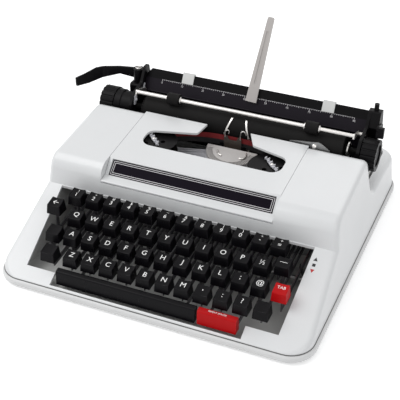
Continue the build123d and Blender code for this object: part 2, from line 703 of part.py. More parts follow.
def make_card_holder():
    """Two thin sprung fingers that curl round the platen and lean to the print point."""
    ring = disc(PLATEN_Y, PLATEN_Z, PLATEN_RADIUS + 1.0) - disc(PLATEN_Y, PLATEN_Z, PLATEN_RADIUS + 0.4)
    reach = polygon((40, PLATEN_Z - 9), (PLATEN_Y, PLATEN_Z), (PLATEN_Y - 15, PLATEN_Z + 23),
                    (40, PLATEN_Z + 23))
    low = CARD_X - CARD_FOOT_HALF - CARD_FINGER
    high = CARD_X + CARD_FOOT_HALF + CARD_FINGER
    curl = side_prism(ring & reach, low, high)
    fingers = None
    for side in (-1, 1):
        foot = CARD_X + side * CARD_FOOT_HALF
        tip = CARD_X + side * CARD_TIP_HALF
        front = polygon((foot - CARD_FINGER, PLATEN_Z - 9), (foot + CARD_FINGER, PLATEN_Z - 9),
                        (foot + CARD_FINGER, PLATEN_Z), (tip + CARD_FINGER, PLATEN_Z + 15),
                        (tip - CARD_FINGER, PLATEN_Z + 15), (foot - CARD_FINGER, PLATEN_Z))
        finger = curl & extrude(Plane.XZ * front, amount=PLATEN_Y + 20, both=True)
        fingers = finger if fingers is None else fingers + finger
    foot_y = PLATEN_Y - ((PLATEN_RADIUS + 0.7) ** 2 - 36) ** 0.5
    fingers += block((low, high), (foot_y - 0.6, foot_y), (60, PLATEN_Z - 6))
    fingers += block((low, high), (CROSS_BAR_Y + 1.5, foot_y), (CROSS_BAR_TOP, CROSS_BAR_TOP + 2))
    return fingers


def make_ribbon():
    """Inked ribbon from spool to spool past the print point."""
    left = MIDDLE - SPOOL_X
    right = MIDDLE + SPOOL_X
    path = Polyline((left, SPOOL_Y + 18.2), (PRINT_X - 44, 40.5), (PRINT_X - 15, RIBBON_Y),
                    (PRINT_X + 15, RIBBON_Y), (PRINT_X + 42, 40.5), (right, SPOOL_Y + 18.2))
    face = trace(path, 0.3)
    return extrude(Pos(0, 0, RIBBON_LOW) * face, amount=RIBBON_HEIGHT)


def make_spool(x):
    """Flanged spool with its wound ribbon."""
    outline = polygon((SPOOL_BORE, 0), (SPOOL_RADIUS, 0), (SPOOL_RADIUS, 0.7), (17.5, 0.7),
                      (17.5, RIBBON_HEIGHT + 0.7), (SPOOL_RADIUS, RIBBON_HEIGHT + 0.7),
                      (SPOOL_RADIUS, RIBBON_HEIGHT + 1.4), (SPOOL_BORE, RIBBON_HEIGHT + 1.4))
    spool = revolve(Plane.XZ * outline, Axis.Z)
    for angle in range(0, 360, 120):
        spool -= Rot(0, 0, angle) * Pos(10, 0, RIBBON_HEIGHT) * Cylinder(2.5, 8)
    return Pos(x, SPOOL_Y, SPOOL_BASE) * spool


# Carriage

def left_end():
    return CARRIAGE_X - CARRIAGE_HALF


def right_end():
    return CARRIAGE_X + CARRIAGE_HALF


def channel_fronts():
    """Front sides of the rail's two channels."""
    first = RAIL_FRONT + RAIL_WALL
    return (first, first + 2 * CHANNEL)


def make_carriage_rail():
    """Fixed rail whose two channels guide the carriage."""
    top = RAIL_TOP - RAIL_WALL
    back = channel_fronts()[1] + CHANNEL + RAIL_WALL
    face = polygon((RAIL_FRONT, RAIL_BASE), (back, RAIL_BASE), (back, top), (RAIL_FRONT, top))
    for front in channel_fronts():
        face -= polygon((front, RAIL_FLOOR), (front + CHANNEL, RAIL_FLOOR), (front + CHANNEL, top + 1),
                        (front, top + 1))
    return side_prism(face, -FRAME_HALF, FRAME_HALF)


def make_carriage_frame():
    """Long channel on two runners, with a rear wall."""
    wall = 2.0
    face = polygon((RAIL_FRONT, RAIL_TOP), (RAIL_BACK, RAIL_TOP), (RAIL_BACK, PLATEN_Z + 5),
                   (RAIL_BACK - wall, PLATEN_Z + 5), (RAIL_BACK - wall, RAIL_TOP + 2.5),
                   (RAIL_FRONT + wall, RAIL_TOP + 2.5), (RAIL_FRONT + wall, RAIL_TOP + 12),
                   (RAIL_FRONT, RAIL_TOP + 12))
    for front in channel_fronts():
        low = front + (CHANNEL - RUNNER) / 2
        foot = RAIL_FLOOR + RUNNING_GAP
        face += polygon((low, foot), (low + RUNNER, foot), (low + RUNNER, RAIL_TOP + 1),
                        (low, RAIL_TOP + 1))
    return side_prism(face, left_end(), right_end())


def end_plate_face():
    face = polygon((52, 78), (60, 71), (70, RAIL_TOP + 3), (RAIL_FRONT, RAIL_TOP),
                   (RAIL_BACK, RAIL_TOP), (RAIL_BACK, 108), (97, 122), (88, 122), (79, 108),
                   (58, 104), (50.5, 94))
    return fillet(face.vertices().filter_by_position(Axis.Y, 70, 125), 3)


def make_end_covers():
    """Carriage ends: a plate that carries the platen, with a housing behind the knob."""
    bores = disc(PLATEN_Y, PLATEN_Z, SHAFT_RADIUS + RUNNING_GAP)
    bores += disc(BAIL_PIVOT_Y, BAIL_PIVOT_Z, BAIL_RADIUS + RUNNING_GAP)
    plate = end_plate_face() - bores
    right_box = polygon((83, 92), (RAIL_BACK, 92), (RAIL_BACK, 108), (97, 122), (88, 122), (81, 107))
    right_box = fillet(right_box.vertices(), 2.5)
    left_box = polygon((81, 80), (RAIL_BACK, 80), (RAIL_BACK, 103), (80, 103))
    left_box = fillet(left_box.vertices(), 2.5)
    right = side_prism(plate, right_end(), right_end() + END_PLATE)
    box_start = right_end() + END_PLATE
    right += side_prism(right_box, box_start, box_start + END_BOX)
    right -= rod_along_x(box_start + 2, box_start + END_BOX + 1, 90, 104, 2 + RUNNING_GAP)
    right += Pos(box_start + 4, 92.5, 125) * Cylinder(2.4, 8)
    left = side_prism(plate, left_end() - END_PLATE, left_end())
    box_start = left_end() - END_PLATE
    left += side_prism(left_box, box_start - END_BOX - 3, box_start)
    post = Pos(RETURN_PIVOT_X, RETURN_PIVOT_Y, RETURN_BASE_Z + 6) * Cylinder(3 - RUNNING_GAP, 15)
    left += post
    return [left, right]


def table_plane():
    """Front face of the paper table: local Y runs up the slope, Z towards the typist."""
    lean = radians(TABLE_LEAN)
    return Plane(origin=(0, TABLE_TOP_Y, TABLE_TOP_Z), x_dir=(1, 0, 0), z_dir=(0, -cos(lean), sin(lean)))


def make_paper_table():
    """Leaning sheet that runs down into a trough round the back of the platen."""
    lean = radians(TABLE_LEAN)
    up = (sin(lean), cos(lean))
    back = (cos(lean), -sin(lean))
    foot = (TABLE_TOP_Y - up[0] * TABLE_STRAIGHT, TABLE_TOP_Z - up[1] * TABLE_STRAIGHT)
    behind = (back[0] * TABLE_WALL, back[1] * TABLE_WALL)
    sheet = polygon((TABLE_TOP_Y, TABLE_TOP_Z), foot, (foot[0] + behind[0], foot[1] + behind[1]),
                    (TABLE_TOP_Y + behind[0], TABLE_TOP_Z + behind[1]))
    inner = hypot(foot[0] - PLATEN_Y, foot[1] - PLATEN_Z) - 0.3
    ring = disc(PLATEN_Y, PLATEN_Z, inner + TABLE_WALL) - disc(PLATEN_Y, PLATEN_Z, inner)
    wrap = polygon((PLATEN_Y, PLATEN_Z), (foot[0] + 6, foot[1] + 4.2), (110, PLATEN_Z),
                   (100, 40), (PLATEN_Y + 5, 40))
    face = sheet + (ring & wrap)
    table = side_prism(face, left_end(), right_end())
    corner = polygon((left_end() - 1, 1), (left_end() + 6, 1), (left_end() - 1, -7))
    table -= extrude(table_plane() * Pos(0, 0, -5) * corner, amount=10)
    return table


def make_platen():
    """Rubber roller, its two hubs, the through shaft and the line ratchet."""
    low = CARRIAGE_X - PLATEN_HALF
    high = CARRIAGE_X + PLATEN_HALF
    bore = rod_along_x(low - 20, high + 20, PLATEN_Y, PLATEN_Z, SHAFT_RADIUS)
    roller = rod_along_x(low, high, PLATEN_Y, PLATEN_Z, PLATEN_RADIUS) - bore
    shaft = rod_along_x(LEFT_KNOB_FACE + 2, RIGHT_KNOB_FACE - 2, PLATEN_Y, PLATEN_Z, SHAFT_RADIUS)
    right_hub = rod_along_x(high, high + 3, PLATEN_Y, PLATEN_Z, 6.0) - bore
    ratchet = disc(0, 0, 12.0)
    teeth = 30
    for i in range(teeth):
        tooth = polygon((11.0, 0.9), (12.8, 0.0), (11.0, -0.9))
        ratchet += Rot(0, 0, 360 / teeth * i) * tooth
    ratchet = side_prism(Pos(PLATEN_Y, PLATEN_Z) * ratchet, low - 4, low - 2) - bore
    collar = rod_along_x(low - 2, low, PLATEN_Y, PLATEN_Z, 6.0) - bore
    return [roller, shaft, right_hub, ratchet + collar]


def make_knob(face_x, direction):
    """Fluted knob with a domed face, bored for the platen shaft."""
    outline = Circle(KNOB_RADIUS)
    for i in range(KNOB_GROOVES):
        outline -= Rot(0, 0, 360 / KNOB_GROOVES * i) * Pos(KNOB_RADIUS + 0.6, 0) * Circle(1.5)
    knob = extrude(outline, amount=KNOB_LENGTH)
    knob -= Pos(0, 0, KNOB_LENGTH) * Cylinder(KNOB_RADIUS - 5, 3)
    knob -= Cylinder(SHAFT_RADIUS, 2 * KNOB_LENGTH - 4)
    turn = Rot(0, 90 * direction, 0)
    return Pos(face_x - direction * KNOB_LENGTH, PLATEN_Y, PLATEN_Z) * turn * knob


def make_paper_bail():
    """Bar across the platen on two arms with pivot pins."""
    low = CARRIAGE_X - BAIL_HALF
    high = CARRIAGE_X + BAIL_HALF
    bail = rod_along_x(low, high, BAIL_Y, BAIL_Z, BAIL_RADIUS)
    half = 2.6
    arm = polygon((BAIL_Y - 1, BAIL_Z + half), (BAIL_Y - 3, BAIL_Z - half),
                  (BAIL_PIVOT_Y, BAIL_PIVOT_Z - 3.4), (BAIL_PIVOT_Y + 3.2, BAIL_PIVOT_Z),
                  (BAIL_PIVOT_Y, BAIL_PIVOT_Z + 3.4))
    arm = fillet(arm.vertices(), 1.2)
    for x, outwards in ((low - 1.6, -1), (high, 1)):
        bail += side_prism(arm, x, x + 1.6)
        start = x if outwards < 0 else x + 1.6
        end = start + outwards * (CARRIAGE_HALF - BAIL_HALF - 1.6 + 2.5)
        bail += rod_along_x(min(start, end), max(start, end), BAIL_PIVOT_Y, BAIL_PIVOT_Z, BAIL_RADIUS)
    return bail


def make_bail_rollers():
    rollers = []
    for offset_x in (-ROLLER_OFFSET, ROLLER_OFFSET):
        middle = CARRIAGE_X + offset_x
        low = middle - ROLLER_LENGTH / 2
        high = middle + ROLLER_LENGTH / 2
        roller = rod_along_x(low, high, BAIL_Y, BAIL_Z, ROLLER_RADIUS)
        roller -= rod_along_x(low - 1, high + 1, BAIL_Y, BAIL_Z, BAIL_RADIUS + RUNNING_GAP)
        rollers.append(roller)
    return rollers


def make_paper_support_arm():
    """Tapered, grooved arm that stands in front of the paper table."""
    tip = ARM_LENGTH - ARM_PIVOT_TO_END
    foot = -ARM_PIVOT_TO_END
    face = polygon((-ARM_BASE_HALF, foot), (ARM_BASE_HALF, foot), (ARM_TIP_HALF, tip),
                   (-ARM_TIP_HALF, tip))
    face = fillet(face.vertices().group_by(Axis.Y)[-1], 1.8)
    arm = extrude(face, amount=ARM_WALL)
    groove = Pos(0, ARM_LENGTH / 2 - 4) * Rectangle(2.6, ARM_LENGTH - 34)
    arm -= extrude(Pos(0, 0, ARM_WALL - 0.7) * groove, amount=2)
    arm += Pos(0, 0, -ARM_LAYER / 2) * Cylinder(3.0, ARM_LAYER - 0.1)
    place = Pos(CARRIAGE_X - 0.6, ARM_PIVOT_TO_END - ARM_DROP, ARM_LAYER) * Rot(0, 0, -ARM_SWING)
    return table_plane() * place * arm


def make_margin_stop(x):
    """Clip that slides along the top edge of the paper table."""
    clip = block((-STOP_HALF, STOP_HALF), (-10.0, 1.9), (-TABLE_WALL - 1.5, 1.4))
    clip -= block((-STOP_HALF - 1, STOP_HALF + 1), (-11.0, 0.6), (-TABLE_WALL - 0.4, 0.4))
    clip -= block((-STOP_HALF - 1, STOP_HALF + 1), (-11.0, -6.0), (-TABLE_WALL - 3, -TABLE_WALL - 0.4))
    return table_plane() * Pos(x, 0, 0) * clip


def make_return_lever():
    """Flat blade that runs out to the left and bends towards the typist."""
    bends = ((0, 0), (-20.5, -3.5), (-38.5, -10.5), (-49.5, -18.0), (-62.5, -28.5))
    path = Polyline(*[(RETURN_PIVOT_X + x, RETURN_PIVOT_Y + y) for x, y in bends])
    blade = extrude(Pos(0, 0, RETURN_BASE_Z - 8) * trace(path, 2.4), amount=26)
    rim = ((6.5, 15.3), (-36.5, 14.3), (-44.5, 13.3), (-55.5, 7.2), (-64.5, 3.2), (-67.5, -1.3),
           (-60.5, -5.7), (-50.5, -3.8), (-38.5, 1.3), (-20.5, 6.2), (-6.5, 3.7), (6.5, 2.7))
    outline = polygon(*[(RETURN_PIVOT_X + x, RETURN_BASE_Z + z) for x, z in rim])
    blade &= extrude(Plane.XZ.offset(-RETURN_PIVOT_Y - 30) * outline, amount=100)
    boss = Pos(RETURN_PIVOT_X, RETURN_PIVOT_Y, RETURN_BASE_Z + 7.4) * Cylinder(5.6, 14.8)
    bore = Pos(RETURN_PIVOT_X, RETURN_PIVOT_Y, RETURN_BASE_Z + 7) * Cylinder(3.0, 20)
    return blade + boss - bore


def make_paper_release_lever():
    """Lever at the right end that frees the paper."""
    start = right_end() + END_PLATE + END_BOX + 0.5
    face = polygon((86, 100), (93, 101), (93, 108), (80, 113), (72, 116), (70, 112), (72, 105))
    face = fillet(face.vertices(), 1.5)
    plate = side_prism(face, start, start + 1.6)
    plate += side_prism(polygon((69.6, 104), (73.2, 104), (74.4, 114.5), (70.8, 114.5)), start, start + 7.5)
    plate += rod_along_x(start - 6, start, 90, 104, 2.0)
    return plate


def make_mainspring_drum():
    """Drum whose spring pulls the carriage along."""
    outline = polygon((DRUM_BORE, 0), (20, 0), (20, 2), (18, 2.6), (18, 11.4), (20, 12), (20, 14),
                      (DRUM_BORE, 14))
    drum = revolve(Plane.XZ * outline, Axis.Z)
    for angle in range(0, 360, 60):
        drum -= Rot(0, 0, angle) * Pos(12, 0, 14) * Cylinder(2.6, 3)
    return Pos(*DRUM_CENTRE, DRUM_BASE) * drum


def build():
    PARTS["base_pan"] = make_base_pan()
    PARTS["rubber_feet"] = make_feet()
    PARTS["upper_shell"] = make_upper_shell()
    PARTS["ribbon_cover"] = make_ribbon_cover()
    PARTS["name_band"] = make_name_band()
    PARTS["inner_frame"] = make_inner_frame()
    PARTS["pivot_shafts"] = make_pivot_shafts()
    make_character_keys()
    make_function_keys()
    make_bar_keys()
    PARTS["colour_selector"] = make_colour_selector()
    PARTS["type_segment"] = make_type_segment()
    PARTS["typebars"] = make_typebars()
    PARTS["ribbon_vibrator"] = make_ribbon_vibrator()
    PARTS["card_holder"] = make_card_holder()
    PARTS["ribbon"] = make_ribbon()
    PARTS["ribbon_spool_left"] = make_spool(MIDDLE - SPOOL_X)
    PARTS["ribbon_spool_right"] = make_spool(MIDDLE + SPOOL_X)
    PARTS["carriage_rail"] = make_carriage_rail()
    PARTS["carriage_frame"] = make_carriage_frame()
    PARTS["end_covers"] = make_end_covers()
    PARTS["paper_table"] = make_paper_table()
    PARTS["platen"] = make_platen()
    PARTS["platen_knobs"] = [make_knob(LEFT_KNOB_FACE, -1), make_knob(RIGHT_KNOB_FACE, 1)]
    PARTS["paper_bail"] = make_paper_bail()
    PARTS["bail_rollers"] = make_bail_rollers()
    PARTS["paper_support_arm"] = make_paper_support_arm()
    PARTS["margin_stop_left"] = make_margin_stop(CARRIAGE_X - STOP_OFFSET + 3)
    PARTS["margin_stop_right"] = make_margin_stop(CARRIAGE_X + STOP_OFFSET + 3)
    PARTS["return_lever"] = make_return_lever()
    PARTS["paper_release_lever"] = make_paper_release_lever()
    PARTS["mainspring_drum"] = make_mainspring_drum()


build()
os.makedirs("parts", exist_ok=True)
for node, shape in PARTS.items():
    solids = shape if isinstance(shape, list) else [shape]
    whole = Compound(children=[solid for part in solids for solid in part.solids()])
    export_step(whole, f"parts/{node}.step")
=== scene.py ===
"""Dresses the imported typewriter: enamel, key legends, ribbon, scales and small bright fittings."""
import bpy
import bmesh
import math
from mathutils import Matrix, Vector


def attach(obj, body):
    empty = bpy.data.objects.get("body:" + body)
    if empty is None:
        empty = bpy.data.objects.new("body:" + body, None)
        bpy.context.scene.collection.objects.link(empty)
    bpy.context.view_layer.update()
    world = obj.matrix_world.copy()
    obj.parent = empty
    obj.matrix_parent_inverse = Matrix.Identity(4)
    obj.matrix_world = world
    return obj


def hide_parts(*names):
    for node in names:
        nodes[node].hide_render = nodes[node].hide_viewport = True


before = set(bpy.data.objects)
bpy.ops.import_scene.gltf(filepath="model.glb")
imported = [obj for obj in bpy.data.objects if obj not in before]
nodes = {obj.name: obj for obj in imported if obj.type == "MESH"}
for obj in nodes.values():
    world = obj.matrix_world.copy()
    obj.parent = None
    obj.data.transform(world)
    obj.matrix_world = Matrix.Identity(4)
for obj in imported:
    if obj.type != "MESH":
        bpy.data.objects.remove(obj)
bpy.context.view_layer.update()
MM = 0.001

# Sizes shared with the model, in millimetres: the keyboard
KEY_PITCH = 19.0
FIRST_KEY_X = -106.7
ROW_STAGGER = (0.0, 9.5, 14.25, 23.75)
ROW_Y = (-81.0, -101.4, -119.6, -138.5)
ROW_Z = (66.3, 56.4, 47.4, 38.5)
TAB_KEY_X = 117.3
BACKSPACE_KEY = (-123.3, -94.5, 59.77)
MARGIN_KEY = (111.4, -96.8, 58.66)
CAP_TILT = 12.0
CAP_TOP_WIDTH = 13.0
CAP_DISH = 0.7
CAP_HEIGHT = 11.5
CAP_SKIRT = 1.2
LAST_CAP_BACK = -70.0
SPACE_BAR_BACK = -146.2
SPACER_FRONT = (69.7, -150.6, 27.05)
SPACER_SLOPE = 0.21

# The case and its cover
SURROUND_BACK = (-63.0, 57.5)
SURROUND_SLOPE = 0.485
SELECTOR_X = 134.5
BAND_FRONT = (-51.2, 73.9)
BAND_BACK = (-38.5, 84.4)
BAND_LEFT = -87.2
BAND_RIGHT = 83.2
BAND_LIFT = 0.12
SEAM_Z = 9.85

# The carriage and the ribbon
TABLE_TOP = (95.0, 118.7)
TABLE_LEAN = 30.0
PLATEN_AXIS = (65.0, 87.0)
BAIL_AXIS = (56.5, 108.9)
SPOOL_X = {"left": -65.5, "right": 61.5}
SPOOL_Y = 8.0
RIBBON_FOOT = 73.7
RIBBON_HEIGHT = 12.0
RIBBON_PATH = ((-65.5, 25.7), (-50.5, 34.2), (-36.0, 40.5), (-21.5, 44.4), (-7.0, 46.0), (8.0, 46.2),
               (23.0, 46.0), (36.0, 44.0), (50.0, 40.0), (57.5, 33.4), (61.5, 25.7))


# Shader nodes

def add(tree, kind, settings=None, **inputs):
    """New node with its settings, and its inputs set to values or linked to sockets."""
    node = tree.nodes.new(kind)
    for key, value in (settings or {}).items():
        setattr(node, key, value)
    for key, value in inputs.items():
        socket = node.inputs[int(key[1:])] if key[0] == "i" and key[1:].isdigit() else node.inputs[key]
        if isinstance(value, bpy.types.NodeSocket):
            tree.links.new(value, socket)
        else:
            socket.default_value = value
    return node


def object_place(tree):
    """Coordinates that stay with the piece."""
    return add(tree, "ShaderNodeTexCoord").outputs["Object"]


def noise(tree, scale, detail, roughness=0.5):
    """Cloudy value from 0 to 1 that stays with the piece."""
    return add(tree, "ShaderNodeTexNoise", Vector=object_place(tree), Scale=scale, Detail=detail,
               Roughness=roughness).outputs["Fac"]


def ranged(tree, value, low=0.0, high=1.0, new_low=0.0, new_high=1.0):
    """Value stretched from one range to another."""
    return add(tree, "ShaderNodeMapRange", i0=value, i1=low, i2=high, i3=new_low, i4=new_high).outputs[0]


def product(tree, first, second, clamped=False):
    """Product of two values, held between 0 and 1 when clamped."""
    return add(tree, "ShaderNodeMath", {"operation": "MULTIPLY", "use_clamp": clamped}, i0=first,
               i1=second).outputs[0]


def larger(tree, first, second):
    """The larger of two values."""
    return add(tree, "ShaderNodeMath", {"operation": "MAXIMUM"}, i0=first, i1=second).outputs[0]


def mixed(tree, factor, first, second):
    """Colour between two colours or sockets."""
    return add(tree, "ShaderNodeMix", {"data_type": "RGBA"}, i0=factor, i6=first, i7=second).outputs[2]


def bumped(tree, shader, height, strength, distance):
    """Raises fine relief on a shader, over a distance in metres."""
    bump = add(tree, "ShaderNodeBump", Height=height, Strength=strength, Distance=distance)
    tree.links.new(bump.outputs["Normal"], shader.inputs["Normal"])


# Effects that several materials share

def group(name, inputs, outputs):
    """Empty shader group with its named sockets and its two end nodes."""
    tree = bpy.data.node_groups.new(name, "ShaderNodeTree")
    for label, value in inputs.items():
        socket = tree.interface.new_socket(name=label, in_out="INPUT", socket_type="NodeSocketFloat")
        socket.default_value = value
    for label in outputs:
        tree.interface.new_socket(name=label, in_out="OUTPUT", socket_type="NodeSocketFloat")
    start = tree.nodes.new("NodeGroupInput").outputs
    end = tree.nodes.new("NodeGroupOutput").inputs
    return tree, start, end


def make_grain_group():
    """Fine surface grain: a height for the bump and a slow mottle from 0 to 1."""
    tree, start, end = group("Fine_Grain", {"Grain Size": 900.0, "Mottle Size": 14.0},
                             ("Height", "Mottle"))
    tree.links.new(noise(tree, start["Grain Size"], 2.0), end["Height"])
    tree.links.new(noise(tree, start["Mottle Size"], 5.0, 0.6), end["Mottle"])
    return tree


def make_wear_group():
    """Mask of rubbed edges, broken up by noise."""
    tree, start, end = group("Rubbed_Edges", {"Radius": 0.0006, "Amount": 1.0}, ("Mask",))
    surface = add(tree, "ShaderNodeNewGeometry")
    rounded = add(tree, "ShaderNodeBevel", {"samples": 4}, Radius=start["Radius"])
    turn = add(tree, "ShaderNodeVectorMath", {"operation": "DOT_PRODUCT"},
               i0=rounded.outputs["Normal"], i1=surface.outputs["Normal"])
    edge = ranged(tree, turn.outputs["Value"], 0.995, 0.90)
    broken = ranged(tree, noise(tree, 160.0, 4.0), 0.42, 0.62)
    tree.links.new(product(tree, product(tree, edge, broken), start["Amount"], True), end["Mask"])
    return tree


def make_dust_group():
    """Light dust that settles on what faces up."""
    tree, start, end = group("Settled_Dust", {"Amount": 0.2}, ("Mask",))
    surface = add(tree, "ShaderNodeNewGeometry")
    parts = add(tree, "ShaderNodeSeparateXYZ", Vector=surface.outputs["Normal"])
    upward = ranged(tree, parts.outputs["Z"], 0.2)
    settled = product(tree, upward, noise(tree, 55.0, 8.0, 0.7))
    tree.links.new(product(tree, settled, start["Amount"], True), end["Mask"])
    return tree


def make_drawn_group():
    """Drawn lines along X: a height and a value that varies the roughness."""
    tree, start, end = group("Drawn_Metal", {"Length": 40.0}, ("Height", "Roughness"))
    stretched = add(tree, "ShaderNodeMapping", Vector=object_place(tree), Scale=(1.0, 30.0, 30.0))
    lines = add(tree, "ShaderNodeTexNoise", Vector=stretched.outputs[0], Scale=start["Length"],
                Detail=4.0).outputs["Fac"]
    tree.links.new(lines, end["Height"])
    tree.links.new(ranged(tree, lines, new_low=0.22, new_high=0.42), end["Roughness"])
    return tree


GRAIN = make_grain_group()
WEAR = make_wear_group()
DUST = make_dust_group()
DRAWN = make_drawn_group()


# Materials

PAINT_RELIEF = 0.0001
METAL_RELIEF = 0.00005
ROUGHNESS_SPREAD = 0.07


def linear(red, green, blue):
    """Display colour, 0 to 255, as a linear colour."""
    values = []
    for part in (red, green, blue):
        value = part / 255
        values.append(value / 12.92 if value <= 0.04045 else ((value + 0.055) / 1.055) ** 2.4)
    return (*values, 1.0)


def new_material(name, slot, roughness, metallic=0.0, coat=0.0, specular=0.5):
    """Material with its slot and the numbers that are the same all over it."""
    material = bpy.data.materials.new(name)
    material.use_nodes = True
    material["slot"] = slot
    shader = material.node_tree.nodes["Principled BSDF"]
    shader.inputs["Roughness"].default_value = roughness
    shader.inputs["Metallic"].default_value = metallic
    shader.inputs["Coat Weight"].default_value = coat
    shader.inputs["Coat Roughness"].default_value = 0.1
    shader.inputs["Specular IOR Level"].default_value = specular
    return material, material.node_tree, shader


def grouped(tree, shared, **values):
    """Outputs of a shared group placed in a material with its own values."""
    node = tree.nodes.new("ShaderNodeGroup")
    node.node_tree = shared
    for key, value in values.items():
        node.inputs[key.replace("_", " ")].default_value = value
    return node.outputs


def painted(name, slot, colour, shade, worn, roughness, bump, wear=0.6, dust=0.0, coat=0.0,
            radius=0.0006, dust_colour=(120, 118, 115), specular=0.5):
    """Painted or moulded finish: mottled colour, rubbed edges, dust and a fine grain."""
    material, tree, shader = new_material(name, slot, roughness, coat=coat, specular=specular)
    grain = grouped(tree, GRAIN)
    edges = grouped(tree, WEAR, Radius=radius, Amount=wear)
    settled = grouped(tree, DUST, Amount=dust)
    base = mixed(tree, grain["Mottle"], linear(*colour), linear(*shade))
    rubbed = mixed(tree, edges["Mask"], base, linear(*worn))
    dusty = mixed(tree, settled["Mask"], rubbed, linear(*dust_colour))
    tree.links.new(dusty, shader.inputs["Base Color"])
    rough = ranged(tree, grain["Mottle"], new_low=roughness - ROUGHNESS_SPREAD,
                   new_high=roughness + ROUGHNESS_SPREAD)
    tree.links.new(rough, shader.inputs["Roughness"])
    bumped(tree, shader, grain["Height"], bump, PAINT_RELIEF)
    return material


def metal(name, slot, colour, shade, dust=0.1):
    """Drawn or plated metal with faint tarnish."""
    material, tree, shader = new_material(name, slot, 0.3, metallic=1.0)
    lines = grouped(tree, DRAWN)
    grain = grouped(tree, GRAIN, Mottle_Size=30.0)
    settled = grouped(tree, DUST, Amount=dust)
    base = mixed(tree, grain["Mottle"], linear(*colour), linear(*shade))
    dusty = mixed(tree, settled["Mask"], base, linear(150, 147, 142))
    tree.links.new(dusty, shader.inputs["Base Color"])
    tree.links.new(lines["Roughness"], shader.inputs["Roughness"])
    bumped(tree, shader, lines["Height"], 0.15, METAL_RELIEF)
    return material


def printed(name, slot, colour, shade, roughness=0.45, mottle=120.0):
    """Printed ink or filled lettering, faintly uneven."""
    material, tree, shader = new_material(name, slot, roughness)
    grain = grouped(tree, GRAIN, Mottle_Size=mottle)
    tree.links.new(mixed(tree, grain["Mottle"], linear(*colour), linear(*shade)),
                   shader.inputs["Base Color"])
    bumped(tree, shader, grain["Height"], 0.1, METAL_RELIEF)
    return material


def make_ribbon_material():
    """Inked cloth: fine weave, red along the top half and black along the bottom."""
    material, tree, shader = new_material("Ribbon_Cloth", "ribbon_cloth", 0.75)
    place = object_place(tree)
    height = add(tree, "ShaderNodeSeparateXYZ", Vector=place).outputs["Z"]
    upper = ranged(tree, height, 0.0792, 0.0800)
    weft, warp = [add(tree, "ShaderNodeTexWave", {"bands_direction": way}, Vector=place, Scale=900.0,
                      Distortion=0.6).outputs["Fac"] for way in ("Z", "X")]
    threads = product(tree, weft, warp)
    red = mixed(tree, threads, linear(116, 22, 26), linear(140, 32, 36))
    black = mixed(tree, threads, linear(16, 14, 16), linear(30, 27, 30))
    tree.links.new(mixed(tree, upper, black, red), shader.inputs["Base Color"])
    bumped(tree, shader, threads, 0.4, PAINT_RELIEF)
    return material


def make_table_material():
    """Paper table: deep black above the scale, a softer black below it."""
    material, tree, shader = new_material("Table_Enamel", "dark_steel", 0.34, specular=0.1)
    height = add(tree, "ShaderNodeSeparateXYZ", Vector=object_place(tree)).outputs["Z"]
    upper = ranged(tree, height, 0.1095, 0.1105)
    grain = grouped(tree, GRAIN)
    soft = mixed(tree, grain["Mottle"], linear(26, 22, 29), linear(30, 26, 33))
    base = mixed(tree, upper, soft, linear(9, 8, 10))
    edges = grouped(tree, WEAR, Radius=0.0005, Amount=0.5)
    tree.links.new(mixed(tree, edges["Mask"], base, linear(84, 82, 84)), shader.inputs["Base Color"])
    bumped(tree, shader, grain["Height"], 0.25, PAINT_RELIEF)
    return material


SHELL = painted("Hood_Enamel", "shell_paint", colour=(224, 225, 226), shade=(219, 220, 221),
                worn=(205, 205, 204), roughness=0.34, bump=0.12, wear=0.35, dust=0.05, coat=0.25,
                dust_colour=(200, 198, 192))
PAN = painted("Pan_Enamel", "shell_paint", colour=(221, 221, 221), shade=(214, 214, 214),
              worn=(150, 149, 147), roughness=0.4, bump=0.2, wear=0.5, coat=0.15)
KEY_BLACK = painted("Key_Moulding", "key_black", colour=(9, 8, 11), shade=(13, 12, 15),
                    worn=(70, 68, 72), roughness=0.28, bump=0.3, wear=0.8, dust=0.02, specular=0.1)
KEY_RED = painted("Red_Key_Moulding", "key_red", colour=(186, 16, 20), shade=(176, 12, 16),
                  worn=(216, 96, 92), roughness=0.34, bump=0.3, wear=0.5, dust=0.02, specular=0.12)
BLACK_ENAMEL = painted("Black_Enamel", "dark_steel", colour=(10, 9, 11), shade=(14, 13, 15),
                       worn=(62, 60, 62), roughness=0.32, bump=0.3, dust=0.03, specular=0.1)
BLACK_PLASTIC = painted("Black_Moulding", "black_plastic", colour=(10, 9, 11), shade=(14, 13, 15),
                        worn=(52, 50, 52), roughness=0.42, bump=0.5, wear=0.5, dust=0.03, specular=0.1)
BAND = painted("Band_Gloss", "band_black", colour=(16, 11, 21), shade=(20, 15, 25), worn=(34, 32, 38),
               roughness=0.36, bump=0.05, wear=0.1, specular=0.03)
ROLLER_RUBBER = painted("Roller_Rubber", "platen_rubber", colour=(20, 19, 19), shade=(25, 24, 24),
                        worn=(38, 37, 37), roughness=0.6, bump=0.4, wear=0.2, dust=0.04, specular=0.08)
FOOT_RUBBER = painted("Foot_Rubber", "rubber", colour=(26, 25, 25), shade=(34, 33, 33),
                      worn=(60, 58, 56), roughness=0.8, bump=0.8)
CAST = painted("Cast_Alloy", "bright_steel", colour=(206, 202, 199), shade=(190, 186, 184),
               worn=(226, 224, 222), roughness=0.42, bump=0.4, wear=0.5, dust=0.1)
ARM_GREY = painted("Arm_Grey", "bright_steel", colour=(186, 181, 178), shade=(174, 169, 166),
                   worn=(206, 203, 200), roughness=0.4, bump=0.3, wear=0.5, dust=0.05)
TYPE_STEEL = painted("Type_Steel", "bright_steel", colour=(214, 214, 218), shade=(186, 186, 192),
                     worn=(236, 236, 238), roughness=0.3, bump=0.2, wear=0.5, radius=0.0003)
